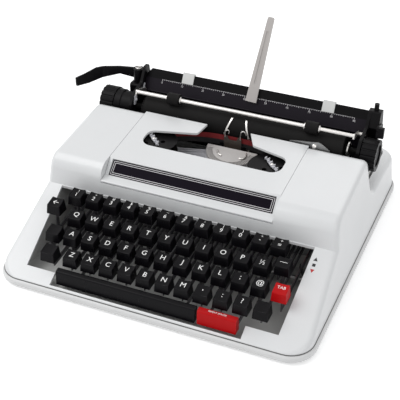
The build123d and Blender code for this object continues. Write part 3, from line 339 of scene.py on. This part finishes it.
STOP_WHITE = painted("Stop_Enamel", "bright_steel", colour=(224, 224, 222), shade=(214, 214, 212),
                     worn=(190, 190, 188), roughness=0.4, bump=0.2, wear=0.4)
VIBRATOR_BROWN = painted("Burnished_Plate", "dark_steel", colour=(70, 62, 56), shade=(50, 44, 40),
                         worn=(120, 112, 104), roughness=0.38, bump=0.3, dust=0.05)
ZINC = painted("Zinc_Floor", "steel", colour=(214, 214, 212), shade=(184, 184, 182),
               worn=(228, 228, 226), roughness=0.4, bump=0.3, wear=0.5, dust=0.2)
LEVER_STEEL = painted("Lever_Steel", "steel", colour=(86, 84, 88), shade=(58, 56, 60),
                      worn=(128, 126, 128), roughness=0.4, bump=0.3, dust=0.1)
# Dark grey that paints the shadow in the joint between shell and pan.
SEAM_SHADOW = painted("Seam_Shadow", "rubber", colour=(92, 92, 92), shade=(76, 76, 76), worn=(120, 118, 116),
               roughness=0.7, bump=0.4)
BRIGHT = metal("Bright_Steel", "bright_steel", colour=(232, 229, 226), shade=(206, 203, 200))
FRAME_STEEL = metal("Frame_Steel", "steel", colour=(176, 176, 176), shade=(150, 150, 150), dust=0.25)
LEGEND = printed("Legend_White", "key_black", colour=(252, 252, 252), shade=(240, 239, 236),
                 roughness=0.5, mottle=300.0)
SILVER_PRINT = printed("Silver_Print", "band_black", colour=(226, 224, 226), shade=(200, 198, 200))
RED_PRINT = printed("Red_Print", "band_black", colour=(190, 34, 38), shade=(176, 28, 32))
BLACK_PRINT = printed("Black_Print", "band_black", colour=(20, 19, 21), shade=(28, 27, 29))
RIBBON = make_ribbon_material()
TABLE = make_table_material()


# Places, as matrices that take millimetres

def moved(x, y, z):
    """Plane parallel to the ground, at a point."""
    return Matrix.Translation(Vector((x, y, z)) * MM)


def to_axis(place, direction):
    """Z stood along a direction, at a point."""
    return moved(*place) @ Vector(direction).to_track_quat("Z", "Y").to_matrix().to_4x4()


def upright(x, y, z):
    """Plane that faces the typist: drawing X across, drawing Y up."""
    return moved(x, y, z) @ Matrix.Rotation(math.pi / 2, 4, "X")


def sideways(x):
    """Plane that faces right: drawing X to the back, drawing Y up."""
    return moved(x, 0, 0) @ Matrix.Rotation(math.pi / 2, 4, "Z") @ Matrix.Rotation(math.pi / 2, 4, "X")


def on_slope(y, z, up):
    """Plane on a slope that starts at y and z: drawing X across, drawing Y along up."""
    across = Vector((1, 0, 0))
    return moved(0, y, z) @ Matrix((across, up, across.cross(up))).transposed().to_4x4()


# Forms and pieces

def mesh_of(form, name):
    """Mesh of a form whose faces all look outwards."""
    mesh = bpy.data.meshes.new(name)
    bmesh.ops.recalc_face_normals(form, faces=form.faces)
    form.to_mesh(mesh)
    form.free()
    return mesh


def creased(mesh, angle):
    """Smooth shading with sharp creases above an angle in degrees."""
    form = bmesh.new()
    form.from_mesh(mesh)
    for edge in form.edges:
        edge.smooth = len(edge.link_faces) == 2 and edge.calc_face_angle(0) < math.radians(angle)
    for face in form.faces:
        face.smooth = True
    form.to_mesh(mesh)
    form.free()
    return mesh


def finish_mesh(mesh, name, material, body):
    """Piece made of a mesh, with its material, on its body."""
    piece = bpy.data.objects.new(name, mesh)
    bpy.context.scene.collection.objects.link(piece)
    piece.data.materials.append(material)
    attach(piece, body)
    return piece


def finish_print(form, name, material, body):
    """Piece made of flat print."""
    return finish_mesh(mesh_of(form, name), name, material, body)


def finish_form(form, name, material, body, crease=35):
    """Piece made of a solid form, shaded smooth up to its creases."""
    return finish_mesh(creased(mesh_of(form, name), crease), name, material, body)


def extruded(form, outline, depth, place):
    """Adds a plate to a form: an outline drawn in X and Y, thickened along Z."""
    low = [form.verts.new(place @ Vector((x * MM, y * MM, 0))) for x, y in outline]
    high = [form.verts.new(place @ Vector((x * MM, y * MM, depth * MM))) for x, y in outline]
    form.faces.new(list(reversed(low)))
    form.faces.new(high)
    for i in range(len(outline)):
        j = (i + 1) % len(outline)
        form.faces.new((low[i], low[j], high[j], high[i]))


def plate_piece(name, outline, depth, place, material, body, bevel=0.0):
    """Small plate from an outline, with optional rounded edges."""
    form = bmesh.new()
    extruded(form, outline, depth, place)
    if bevel:
        bmesh.ops.bevel(form, geom=form.edges[:], offset=bevel * MM, segments=2, affect="EDGES",
                        clamp_overlap=True)
    return finish_form(form, name, material, body)


def lathe(profile, steps, place):
    """Turned form of (radius, height) points about Z, moved to its place."""
    form = bmesh.new()
    rings = []
    for radius, height in profile:
        if radius == 0:
            rings.append([form.verts.new(place @ Vector((0, 0, height * MM)))])
            continue
        ring = []
        for i in range(steps):
            turn = 2 * math.pi * i / steps
            spot = Vector((radius * math.cos(turn), radius * math.sin(turn), height)) * MM
            ring.append(form.verts.new(place @ spot))
        rings.append(ring)
    for low, high in zip(rings, rings[1:]):
        for i in range(steps):
            j = (i + 1) % steps
            if len(low) == 1:
                form.faces.new((low[0], high[j], high[i]))
            elif len(high) == 1:
                form.faces.new((low[i], low[j], high[0]))
            else:
                form.faces.new((low[i], low[j], high[j], high[i]))
    return form


def turned_piece(name, profile, steps, place, material, body):
    """Turned part from its (radius, height) profile."""
    return finish_form(lathe(profile, steps, place), name, material, body)


def screw(name, place, direction, body, radius, height=1.1):
    """Bright slotted screw: a turned head whose face is two lands beside the slot."""
    rim = 0.35
    land = 0.45
    reach = radius * 0.9
    aside = radius * 0.22 * 0.2
    head = to_axis(place, direction)
    form = lathe([(0, -0.8), (radius, -0.8), (radius, height - rim), (radius - rim, height),
                  (radius * 0.92 - 0.3, height)], 24, head)
    for side in (-1, 1):
        outline = []
        for i in range(13):
            turn = math.radians(14 + 152 * i / 12) * side
            outline.append((reach * math.cos(turn), reach * math.sin(turn)))
        if side < 0:
            outline.reverse()
        extruded(form, outline, land, head @ moved(0, side * aside, height - land))
    return finish_form(form, name, BRIGHT, body)


def curve_mesh(curve):
    """Mesh of a curve or word, which then leaves the file."""
    holder = bpy.data.objects.new("curve", curve)
    bpy.context.scene.collection.objects.link(holder)
    bpy.context.view_layer.update()
    mesh = bpy.data.meshes.new_from_object(holder.evaluated_get(bpy.context.evaluated_depsgraph_get()))
    bpy.data.objects.remove(holder)
    bpy.data.curves.remove(curve)
    return mesh


def tube(name, points, radius, material, body, closed=False):
    """Round wire: a smooth curve led by its points, or a closed ring straight through them."""
    curve = bpy.data.curves.new(name, "CURVE")
    curve.dimensions = "3D"
    curve.bevel_depth = radius * MM
    curve.bevel_resolution = 2 if closed else 3
    curve.use_fill_caps = True
    spline = curve.splines.new("POLY" if closed else "NURBS")
    spline.points.add(len(points) - 1)
    for point, place in zip(spline.points, points):
        point.co = (*[value * MM for value in place], 1.0)
    spline.use_cyclic_u = closed
    if not closed:
        spline.order_u = 3
        spline.use_endpoint_u = True
    return finish_mesh(creased(curve_mesh(curve), 50), name, material, body)


# Legends of the keys

LETTER_SIZE = 7.6
DIGIT_SIZE = 6.4
SIGN_SIZE = 4.6
LEGEND_LIFT = 0.06
NUMBER_LEGENDS = (("1", "!"), ("2", '"'), ("3", "#"), ("4", "$"), ("5", "%"), ("6", "_"), ("7", "&"),
                  ("8", "'"), ("9", "("), ("0", ")"), ("-", "*"), ("=", "+"))
LETTERS = ("QWERTYUIOP½", "ASDFGHJKL;@", "ZXCVBNM,:?")
ROW_TWO = ("q", "w", "e", "r", "t", "y", "u", "i", "o", "p", "half")
ROW_THREE = ("a", "s", "d", "f", "g", "h", "j", "k", "l", "semicolon", "at")


def text_mesh(words, size):
    """Flat mesh of a word, centred on its own middle."""
    curve = bpy.data.curves.new("words", "FONT")
    curve.body = words
    curve.size = size * MM
    curve.align_x = "CENTER"
    curve.align_y = "CENTER"
    curve.resolution_u = 3
    mesh = curve_mesh(curve)
    xs = [vertex.co.x for vertex in mesh.vertices]
    ys = [vertex.co.y for vertex in mesh.vertices]
    middle = Vector(((min(xs) + max(xs)) / 2, (min(ys) + max(ys)) / 2, 0))
    for vertex in mesh.vertices:
        vertex.co -= middle
    return mesh


def dish_height(x):
    """Height of the hollowed key top over its rim plane, in metres."""
    chord = CAP_TOP_WIDTH / 2
    radius = (chord ** 2 + CAP_DISH ** 2) / (2 * CAP_DISH)
    return (radius - CAP_DISH - math.sqrt(radius ** 2 - (x / MM) ** 2)) * MM


def set_words(form, words, size, place, shift=(0, 0), in_hollow=False):
    """Adds a word to a form, flat on a plane or bent into the hollow of a key."""
    mesh = text_mesh(words, size)
    start = len(form.verts)
    form.from_mesh(mesh)
    bpy.data.meshes.remove(mesh)
    form.verts.ensure_lookup_table()
    for vertex in form.verts[start:]:
        spot = vertex.co + Vector((shift[0] * MM, shift[1] * MM, 0))
        if in_hollow:
            spot.z = dish_height(spot.x) + LEGEND_LIFT * MM
        vertex.co = place @ spot


def legend_piece(body, name, cap, *glyphs):
    """One key's legend on the cap at a point: glyphs are (words, size, shift)."""
    place = moved(*cap) @ Matrix.Rotation(math.radians(CAP_TILT), 4, "X")
    form = bmesh.new()
    for words, size, shift in glyphs:
        set_words(form, words, size, place, shift, in_hollow=True)
    return finish_print(form, "legend_" + name, LEGEND, body)


def key_place(row, column):
    """Point on top of a key of the four rows."""
    return FIRST_KEY_X + ROW_STAGGER[row] + KEY_PITCH * column, ROW_Y[row], ROW_Z[row]


def make_legends():
    """White legends of the four rows and of the keys beside them."""
    for column, (digit, sign) in enumerate(NUMBER_LEGENDS):
        legend_piece("number_row", f"number_{column}", key_place(0, column),
                     (digit, DIGIT_SIZE, (-0.2, -1.7)), (sign, SIGN_SIZE, (0.5, 3.1)))
    for row, names in ((1, ROW_TWO), (2, ROW_THREE)):
        for column, (name, letter) in enumerate(zip(names, LETTERS[row - 1])):
            legend_piece("key_" + name, name, key_place(row, column), (letter, LETTER_SIZE, (0, 0.2)))
    for column, letter in enumerate(LETTERS[2]):
        legend_piece("bottom_row", f"bottom_{column}", key_place(3, column),
                     (letter, LETTER_SIZE, (0, 0.2)))
    legend_piece("tab", "tab", (TAB_KEY_X, ROW_Y[2], ROW_Z[2]), ("TAB", 4.4, (0, 1.4)))
    legend_piece("backspace", "backspace", BACKSPACE_KEY, ("←", 8.0, (0, 0)))
    legend_piece("margin_release", "margin", MARGIN_KEY, ("—", 7.0, (0, 0)))


# Printed lines and marks

PRINT_DEPTH = 0.06
PINSTRIPES = ((1.1, 0.55), (2.9, 0.5))
SCALE_START = -93.0
SCALE_SPACING = 2.36
SCALE_MARKS = 90
SCALE_LINE = -10.2
SCALE_NUMBERS = -13.4
MARK_HALF = 0.2


def strip(form, place, x_low, x_high, y_low, y_high):
    """Adds a thin printed bar on a plane."""
    extruded(form, [(x_low, y_low), (x_high, y_low), (x_high, y_high), (x_low, y_high)], PRINT_DEPTH,
             place)


def make_pinstripes():
    """Two silver lines round the bare name band."""
    rise = Vector((0, BAND_BACK[0] - BAND_FRONT[0], BAND_BACK[1] - BAND_FRONT[1]))
    place = on_slope(*BAND_FRONT, rise.normalized()) @ moved(0, 0, BAND_LIFT)
    form = bmesh.new()
    for inset, width in PINSTRIPES:
        left, right = BAND_LEFT + inset, BAND_RIGHT - inset
        low, high = inset, rise.length - inset
        strip(form, place, left, right, low, low + width)
        strip(form, place, left, right, high - width, high)
        strip(form, place, left, left + width, low + width, high - width)
        strip(form, place, right - width, right, low + width, high - width)
    finish_print(form, "band_pinstripes", SILVER_PRINT, "cover")


def make_table_scale():
    """Margin scale along the paper table, a number at every tenth mark."""
    lean = math.radians(TABLE_LEAN)
    place = on_slope(*TABLE_TOP, Vector((0, math.sin(lean), math.cos(lean))))
    form = bmesh.new()
    for mark in range(SCALE_MARKS + 1):
        x = SCALE_START + SCALE_SPACING * mark
        length = 1.8 if mark % 10 == 0 else 1.3 if mark % 5 == 0 else 0.8
        strip(form, place, x - MARK_HALF, x + MARK_HALF, SCALE_LINE - length, SCALE_LINE)
    strip(form, place, SCALE_START, SCALE_START + SCALE_SPACING * SCALE_MARKS, SCALE_LINE,
          SCALE_LINE + 0.2)
    for mark in range(0, SCALE_MARKS + 1, 10):
        x = SCALE_START + SCALE_SPACING * mark
        set_words(form, str(mark), 2.9, place @ moved(x, SCALE_NUMBERS, PRINT_DEPTH))
    finish_print(form, "table_scale", SILVER_PRINT, "carriage")


def make_selector_marks():
    """Black, stencil and red marks beside the colour selector."""
    marks = ((-74.0, BLACK_PRINT, [(-2.0, -1.7), (2.0, -1.7), (0, 2.0)]),
             (-79.5, BLACK_PRINT, [(-1.5, -1.5), (1.5, -1.5), (1.5, 1.5), (-1.5, 1.5)]),
             (-85.0, RED_PRINT, [(0, -2.0), (2.0, 1.7), (-2.0, 1.7)]))
    tilt = Matrix.Rotation(math.atan(SURROUND_SLOPE), 4, "X")
    for i, (y, colour, outline) in enumerate(marks):
        z = SURROUND_BACK[1] + SURROUND_SLOPE * (y - SURROUND_BACK[0])
        form = bmesh.new()
        extruded(form, outline, 0.08, moved(SELECTOR_X, y, z) @ tilt)
        finish_print(form, f"selector_mark_{i}", colour, "frame")


def make_spacer_legend():
    """Two small words on the front edge of the repeat spacer."""
    form = bmesh.new()
    set_words(form, "REPEAT SPACER", 2.5,
              moved(*SPACER_FRONT) @ Matrix.Rotation(SPACER_SLOPE, 4, "X"))
    finish_print(form, "legend_spacer", LEGEND, "repeat_spacer")


# The ribbon and what leads it

RIBBON_ROWS = 6
RIBBON_STEPS = 6
RIBBON_SAG = 0.25


def ribbon_points():
    """Smooth run through the ribbon's path, seen from above."""
    path = [Vector((x, y, 0)) for x, y in RIBBON_PATH]
    points = []
    for i in range(len(path) - 1):
        a, b = path[i], path[i + 1]
        tangent_a = (b - path[max(i - 1, 0)]) * 0.5
        tangent_b = (path[min(i + 2, len(path) - 1)] - a) * 0.5
        for step in range(RIBBON_STEPS):
            t = step / RIBBON_STEPS
            points.append(a * (2 * t ** 3 - 3 * t ** 2 + 1) + b * (-2 * t ** 3 + 3 * t ** 2)
                          + tangent_a * (t ** 3 - 2 * t ** 2 + t) + tangent_b * (t ** 3 - t ** 2))
    points.append(path[-1])
    return points


def make_ribbon_sheet():
    """Inked ribbon from spool to spool, with a slight belly between its guides."""
    points = ribbon_points()
    form = bmesh.new()
    columns = []
    for i, point in enumerate(points):
        foot = RIBBON_FOOT - RIBBON_SAG * math.sin(math.pi * i / (len(points) - 1)) ** 2
        heights = [foot + RIBBON_HEIGHT * row / RIBBON_ROWS for row in range(RIBBON_ROWS + 1)]
        columns.append([form.verts.new(Vector((point.x, point.y, z)) * MM) for z in heights])
    for near, far in zip(columns, columns[1:]):
        for row in range(RIBBON_ROWS):
            form.faces.new((near[row], far[row], far[row + 1], near[row + 1]))
    piece = finish_form(form, "ribbon_strip", RIBBON, "frame", crease=60)
    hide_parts("ribbon")


def make_wire_guides():
    """Bright hooks on the vibrator and the segment that lead the ribbon and the card."""
    tube("vibrator_hook_left", ((-2.2, 44.4, 84.5), (-2.6, 44.2, 89.5), (-1.4, 44.6, 92.8),
                                (1.2, 45.3, 92.8), (1.8, 45.8, 90.2), (0.9, 46.0, 88.2)),
         0.55, BRIGHT, "vibrator")
    tube("vibrator_hook_right", ((14.4, 44.4, 84.5), (14.3, 44.3, 90.0), (15.0, 44.8, 93.8),
                                 (17.6, 45.4, 95.0), (19.6, 45.9, 92.4), (19.9, 46.0, 90.4)),
         0.55, BRIGHT, "vibrator")
    tube("segment_hook_left", ((-5.2, 32.0, 74.9), (-4.4, 29.2, 74.6), (-1.8, 26.4, 74.2),
                               (1.4, 25.4, 74.0)), 0.75, BRIGHT, "basket")
    tube("segment_hook_right", ((20.0, 27.2, 74.0), (22.6, 26.2, 74.0), (25.2, 29.0, 74.4),
                                (25.6, 33.4, 75.2), (23.8, 36.4, 75.8)), 0.85, BRIGHT, "basket")


def make_vibrator_feet():
    """Black feet that carry the vibrator on both sides."""
    outline = [(0, 0), (4.4, 0), (4.4, 8), (3.2, 9), (0, 9)]
    for name, x in (("left", -7.8), ("right", 15.6)):
        plate_piece(f"vibrator_foot_{name}", outline, 1.4, upright(x, 44.8, 68.5), BLACK_ENAMEL,
                    "vibrator", 0.25)


def add_clip_tabs(form, place):
    """Adds small upturned tabs along a spool clip, left and right of its middle by turns."""
    tabs = 9
    reach = 12.4
    block = [(-0.5, -1.5), (0.5, -1.5), (0.5, 1.5), (-0.5, 1.5)]
    for i in range(tabs):
        along = -reach + 2 * reach * i / (tabs - 1)
        aside = 0.9 if i % 2 else -0.9
        if abs(along) > 2.4:
            extruded(form, block, 1.9, place @ moved(along, aside, 0.5) @ Matrix.Rotation(0.5, 4, "Z"))


def make_spool_clips():
    """Bright spring clip across each spool, with its row of tabs and its centre pin."""
    clip = [(-13.5, -0.7), (0, -2.2), (13.5, -0.7), (13.5, 0.7), (0, 2.2), (-13.5, 0.7)]
    pin = [(0, 84.8), (1.6, 84.8), (1.6, 88.6), (1.1, 89.0), (0, 89.0)]
    for name, x in SPOOL_X.items():
        place = moved(x, SPOOL_Y, 87.2) @ Matrix.Rotation(math.radians(-46), 4, "Z")
        form = bmesh.new()
        extruded(form, clip, 0.7, place)
        add_clip_tabs(form, place)
        finish_form(form, f"spool_clip_{name}", TYPE_STEEL, "frame")
        turned_piece(f"spool_pin_{name}", pin, 20, moved(x, SPOOL_Y, 0), BRIGHT, "frame")


# Fittings of the carriage and the case

def make_left_end_fittings():
    """Detent arm, spring blade and three nuts on the inner side of the left carriage end."""
    inner_face = -111.8
    arm = [(56.0, 92.5), (59.5, 91.5), (63.5, 101.5), (61.5, 104.0), (57.8, 101.0)]
    spring = [(74.0, 96.0), (76.0, 95.4), (84.5, 104.4), (83.0, 106.0)]
    plate_piece("detent_arm", arm, 1.2, sideways(inner_face), TYPE_STEEL, "carriage", 0.2)
    plate_piece("detent_spring", spring, 1.0, sideways(inner_face), TYPE_STEEL, "carriage", 0.15)
    for name, y, z, radius in (("detent", 59.6, 97.5, 1.7), ("spring", 80.0, 101.0, 1.5),
                               ("cover", 90.0, 100.0, 2.4)):
        turned_piece(f"{name}_nut", [(0, -1.0), (radius, -1.0), (radius, 1.1), (radius - 0.4, 1.5),
                                     (0, 1.5)],
                     6, to_axis((inner_face + 1.0, y, z), (1, 0, 0)), TYPE_STEEL, "carriage")


def make_line_gauge():
    """Satin bracket in front of the platen at the right, with its bright stud."""
    outline = [(66, 60), (104, 60), (108, 92.5), (98.5, 98.6), (95.5, 99.6), (66, 95.6)]
    plate_piece("line_gauge", outline, 0.9, upright(0, 47.0, 0), FRAME_STEEL, "frame", 0.2)
    turned_piece("gauge_stud", [(0, -0.6), (2.2, -0.6), (2.2, 1.0), (1.4, 1.7), (0, 1.9)], 24,
                 to_axis((92.0, 46.0, 94.6), (0, -1, 0.3)), BRIGHT, "frame")


def make_bail_collars():
    """Bright collars that hold each roller in place on the bail."""
    profile = [(2.05, -0.8), (3.3, -0.8), (3.5, -0.5), (3.5, 0.5), (3.3, 0.8), (2.05, 0.8)]
    for name, x in (("left", -71.6), ("left_inner", -57.2), ("right", 78.2), ("right_inner", 93.0)):
        turned_piece(f"bail_collar_{name}", profile, 28, to_axis((x, *BAIL_AXIS), (1, 0, 0)), BRIGHT,
                     "bail")


def make_carriage_fittings():
    """Screws at the carriage's ends, journals of the platen, and two pivot screws."""
    for name, x, low_y, way in (("left", -114.9, 88.0, -1), ("right", 136.1, 77.0, 1)):
        screw(f"end_screw_{name}_low", (x, low_y, 62.0), (way, 0, 0), "carriage", 2.4)
        screw(f"end_screw_{name}_high", (x, 66.0, 75.0), (way, 0, 0), "carriage", 1.8)
    journal = [(6.1, -1.0), (8.4, -1.0), (8.8, -0.6), (8.8, 0.6), (8.4, 1.0), (6.1, 1.0)]
    for name, x in (("left", -99.4), ("right", 122.4)):
        turned_piece(f"journal_{name}", journal, 36, to_axis((x, *PLATEN_AXIS), (1, 0, 0)), BRIGHT,
                     "platen")
    screw("lever_screw", (-121.5, 90.0, 118.1), (0, 0, 1), "return_lever", 3.4)
    screw("arm_screw", (10.0, 86.96, 109.0), (0, -0.866, 0.5), "support_arm", 1.7, 0.7)


def make_clutch_sleeve():
    """Black barrel of the line-spacing clutch between the left knob and the carriage."""
    profile = [(3.2, 0.0), (13.0, 0.0), (13.6, 0.6), (13.6, 11.0), (14.8, 12.0), (14.8, 18.6),
               (14.2, 19.2), (3.2, 19.2)]
    turned_piece("clutch_sleeve", profile, 48, to_axis((-115.2, *PLATEN_AXIS), (-1, 0, 0)),
                 BLACK_PLASTIC, "platen")


def make_body_seam():
    """Painted shadow line where the shell meets the pan: a dark grey ring laid in the joint."""
    corner, half_x, front, back = 23.4, 156.6, -160.6, 158.6
    points = []
    for x_way, centre_y, start in ((1, back - corner, 0), (-1, back - corner, 90),
                                   (-1, front + corner, 180), (1, front + corner, 270)):
        centre_x = x_way * (half_x - corner)
        for i in range(10):
            turn = math.radians(start + 10 * i)
            points.append((centre_x + corner * math.cos(turn), centre_y + corner * math.sin(turn),
                           SEAM_Z))
    tube("body_seam_shadow", points, 0.42, SEAM_SHADOW, "frame", closed=True)


def make_recess_cheeks():
    """White end walls of the recess that holds the ribbon cover's bevel."""
    outline = [(-59.6, 70.0), (-36.0, 70.0), (-36.0, 88.2), (-44.3, 86.9), (-50.0, 85.3),
               (-55.0, 82.2), (-58.4, 77.4), (-59.6, 71.6)]
    for name, x in (("left", -92.7), ("right", 87.5)):
        plate_piece(f"recess_cheek_{name}", outline, 1.2, sideways(x), SHELL, "frame")


make_legends()
make_clutch_sleeve()
make_body_seam()
make_recess_cheeks()
make_pinstripes()
make_table_scale()
make_selector_marks()
make_spacer_legend()
make_ribbon_sheet()
make_wire_guides()
make_vibrator_feet()
make_spool_clips()
make_left_end_fittings()
make_line_gauge()
make_bail_collars()
make_carriage_fittings()


# Camera, light and ground, in metres

CAMERA_PLACE = (0.3179, -0.7708, 0.6078)
CAMERA_TURN = 23.13
CAMERA_DROP = 34.50
CAMERA_ROLL = -0.0023
FOCAL_PIXELS = 994.14
FRAME_PIXELS = 400
SENSOR = 36
ROOM_LIGHT = 0.58
FLOOR_GLOW = 0.4
FLOOR_HALF = 3.0
LAMP_AIM = (0, 0, 0.05)
LAMPS = (("Key_Light", (-1.2, -0.6, 1.7), (1.4, 1.4), 20),
         ("Fill_Light", (1.5, -1.3, 1.0), (1.2, 1.2), 5),
         ("Back_Light", (0.3, 1.5, 1.5), (1.6, 0.8), 6))


def make_camera():
    """Camera at the photograph's place: 23 degrees to the right, looking 34.5 degrees down."""
    camera = bpy.data.cameras.new("Camera")
    camera.lens = FOCAL_PIXELS / FRAME_PIXELS * SENSOR
    camera.sensor_width = SENSOR
    camera.clip_end = 20
    holder = bpy.data.objects.new("Camera", camera)
    holder.location = CAMERA_PLACE
    turn = Matrix.Rotation(math.radians(CAMERA_TURN), 4, "Z")
    tilt = Matrix.Rotation(math.pi / 2 - math.radians(CAMERA_DROP), 4, "X")
    holder.rotation_euler = (turn @ tilt @ Matrix.Rotation(CAMERA_ROLL, 4, "Z")).to_euler()
    bpy.context.scene.collection.objects.link(holder)
    bpy.context.scene.camera = holder


def make_lamp(name, place, size, power):
    """Soft white lamp that looks at the typewriter."""
    lamp = bpy.data.lights.new(name, "AREA")
    lamp.shape = "RECTANGLE"
    lamp.size, lamp.size_y = size
    lamp.energy = power
    holder = bpy.data.objects.new(name, lamp)
    holder.location = place
    holder.rotation_euler = (Vector(LAMP_AIM) - Vector(place)).to_track_quat("-Z", "Y").to_euler()
    bpy.context.scene.collection.objects.link(holder)


def seen_rays(tree):
    """1 on rays that show the background: those of the camera, of reflections and through glass."""
    rays = add(tree, "ShaderNodeLightPath").outputs
    shown = larger(tree, rays["Is Camera Ray"], rays["Is Glossy Ray"])
    return larger(tree, shown, rays["Is Transmission Ray"])


def make_world():
    """Even light on the object, and white behind it and in its reflections."""
    world = bpy.data.worlds.new("Studio")
    bpy.context.scene.world = world
    world.use_nodes = True
    tree = world.node_tree
    tree.nodes.clear()
    soft = add(tree, "ShaderNodeBackground", Color=(0.98, 0.99, 1.0, 1), Strength=ROOM_LIGHT)
    white = add(tree, "ShaderNodeBackground", Color=(1, 1, 1, 1), Strength=1.0)
    both = add(tree, "ShaderNodeMixShader", i0=seen_rays(tree), i1=soft.outputs[0],
               i2=white.outputs[0])
    add(tree, "ShaderNodeOutputWorld", Surface=both.outputs[0])


def make_floor():
    """Pale floor that is seen as white and keeps a soft contact shadow."""
    form = bmesh.new()
    form.faces.new([form.verts.new((x * FLOOR_HALF, y * FLOOR_HALF, 0))
                    for x, y in ((-1, -1), (1, -1), (1, 1), (-1, 1))])
    floor = bpy.data.objects.new("floor", mesh_of(form, "floor"))
    bpy.context.scene.collection.objects.link(floor)
    material = bpy.data.materials.new("Floor_Paper")
    material.use_nodes = True
    tree = material.node_tree
    shader = tree.nodes["Principled BSDF"]
    shader.inputs["Base Color"].default_value = (0.9, 0.9, 0.9, 1)
    shader.inputs["Roughness"].default_value = 0.9
    shader.inputs["Specular IOR Level"].default_value = 0.1
    glow = add(tree, "ShaderNodeEmission", Color=(1, 1, 1, 1), Strength=FLOOR_GLOW)
    lit = add(tree, "ShaderNodeAddShader", i0=shader.outputs[0], i1=glow.outputs[0])
    both = add(tree, "ShaderNodeMixShader", i0=seen_rays(tree), i1=shader.outputs[0],
               i2=lit.outputs[0])
    tree.links.new(both.outputs[0], tree.nodes["Material Output"].inputs["Surface"])
    floor.data.materials.append(material)


bpy.context.scene.view_settings.view_transform = "Standard"
make_camera()
make_world()
for lamp_row in LAMPS:
    make_lamp(*lamp_row)
make_floor()


# The frame's own nodes: finish and softened edges

FINISHES = {
    SHELL: ("upper_shell", "ribbon_cover"),
    PAN: ("base_pan",),
    FOOT_RUBBER: ("rubber_feet",),
    ZINC: ("inner_frame",),
    FRAME_STEEL: ("pivot_shafts", "carriage_rail"),
    BRIGHT: ("paper_bail", "card_holder"),
    TYPE_STEEL: ("typebars",),
    CAST: ("type_segment",),
    ARM_GREY: ("paper_support_arm",),
    STOP_WHITE: ("margin_stop_left", "margin_stop_right"),
    VIBRATOR_BROWN: ("ribbon_vibrator",),
    BLACK_ENAMEL: ("carriage_frame", "return_lever", "colour_selector", "mainspring_drum"),
    BLACK_PLASTIC: ("ribbon_spool_left", "ribbon_spool_right", "end_covers", "platen_knobs",
                    "paper_release_lever"),
    BAND: ("name_band",),
    ROLLER_RUBBER: ("platen", "bail_rollers"),
    TABLE: ("paper_table",),
    KEY_RED: ("tab_key", "repeat_spacer"),
}
BARS = ("space_bar", "repeat_spacer")
ROUNDING = {"upper_shell": 0.8, "ribbon_cover": 0.5, "base_pan": 0.5, "inner_frame": 0.4,
            "typebars": 0.15, "card_holder": 0.15, "ribbon": 0.0, "type_segment": 0.2,
            "ribbon_vibrator": 0.2, "name_band": 0.2, "paper_bail": 0.3, "platen": 0.5,
            "return_lever": 0.7, "end_covers": 0.8, "platen_knobs": 0.8, "paper_support_arm": 0.35}
OTHER_ROUNDING = 0.3
KEY_ROUNDING = 0.9
WELD_GAP = 0.01
ROUNDED_ABOVE = 32


def soften(piece, width):
    """Welds the node's faces and rounds its edges, leaving its own mesh alone."""
    for face in piece.data.polygons:
        face.use_smooth = True
    weld = piece.modifiers.new("Weld", "WELD")
    weld.merge_threshold = WELD_GAP * MM
    if width:
        bevel = piece.modifiers.new("Soft_Edges", "BEVEL")
        bevel.width = width * MM
        bevel.segments = 2
        bevel.limit_method = "ANGLE"
        bevel.angle_limit = math.radians(ROUNDED_ABOVE)
    normals = piece.modifiers.new("Normals", "WEIGHTED_NORMAL")
    normals.keep_sharp = True


def key_top_z(y):
    """Height of the plane through the key tops, in millimetres."""
    slope = (ROW_Z[0] - ROW_Z[-1]) / (ROW_Y[0] - ROW_Y[-1])
    return ROW_Z[-1] + slope * (y - ROW_Y[-1])


def under_cap(centre, bar):
    """Whether a face of a key belongs to the metal that carries its cap."""
    y, z = centre.y / MM, centre.z / MM
    if bar:
        return y > SPACE_BAR_BACK + 0.05
    return z < key_top_z(y) - CAP_HEIGHT - CAP_SKIRT or y > LAST_CAP_BACK


def dress_nodes():
    """Gives each node its finish and soft edges, and each key a steel lever under its cap."""
    finishes = {name: material for material, names in FINISHES.items() for name in names}
    for name, piece in nodes.items():
        bar = name in BARS
        key = bar or "key" in name or name == "shift_lock"
        piece.data.materials.clear()
        piece.data.materials.append(finishes.get(name, KEY_BLACK))
        if key:
            piece.data.materials.append(LEVER_STEEL)
        for face in piece.data.polygons:
            face.material_index = int(key and under_cap(face.center, bar))
        soften(piece, KEY_ROUNDING if key else ROUNDING.get(name, OTHER_ROUNDING))


dress_nodes()
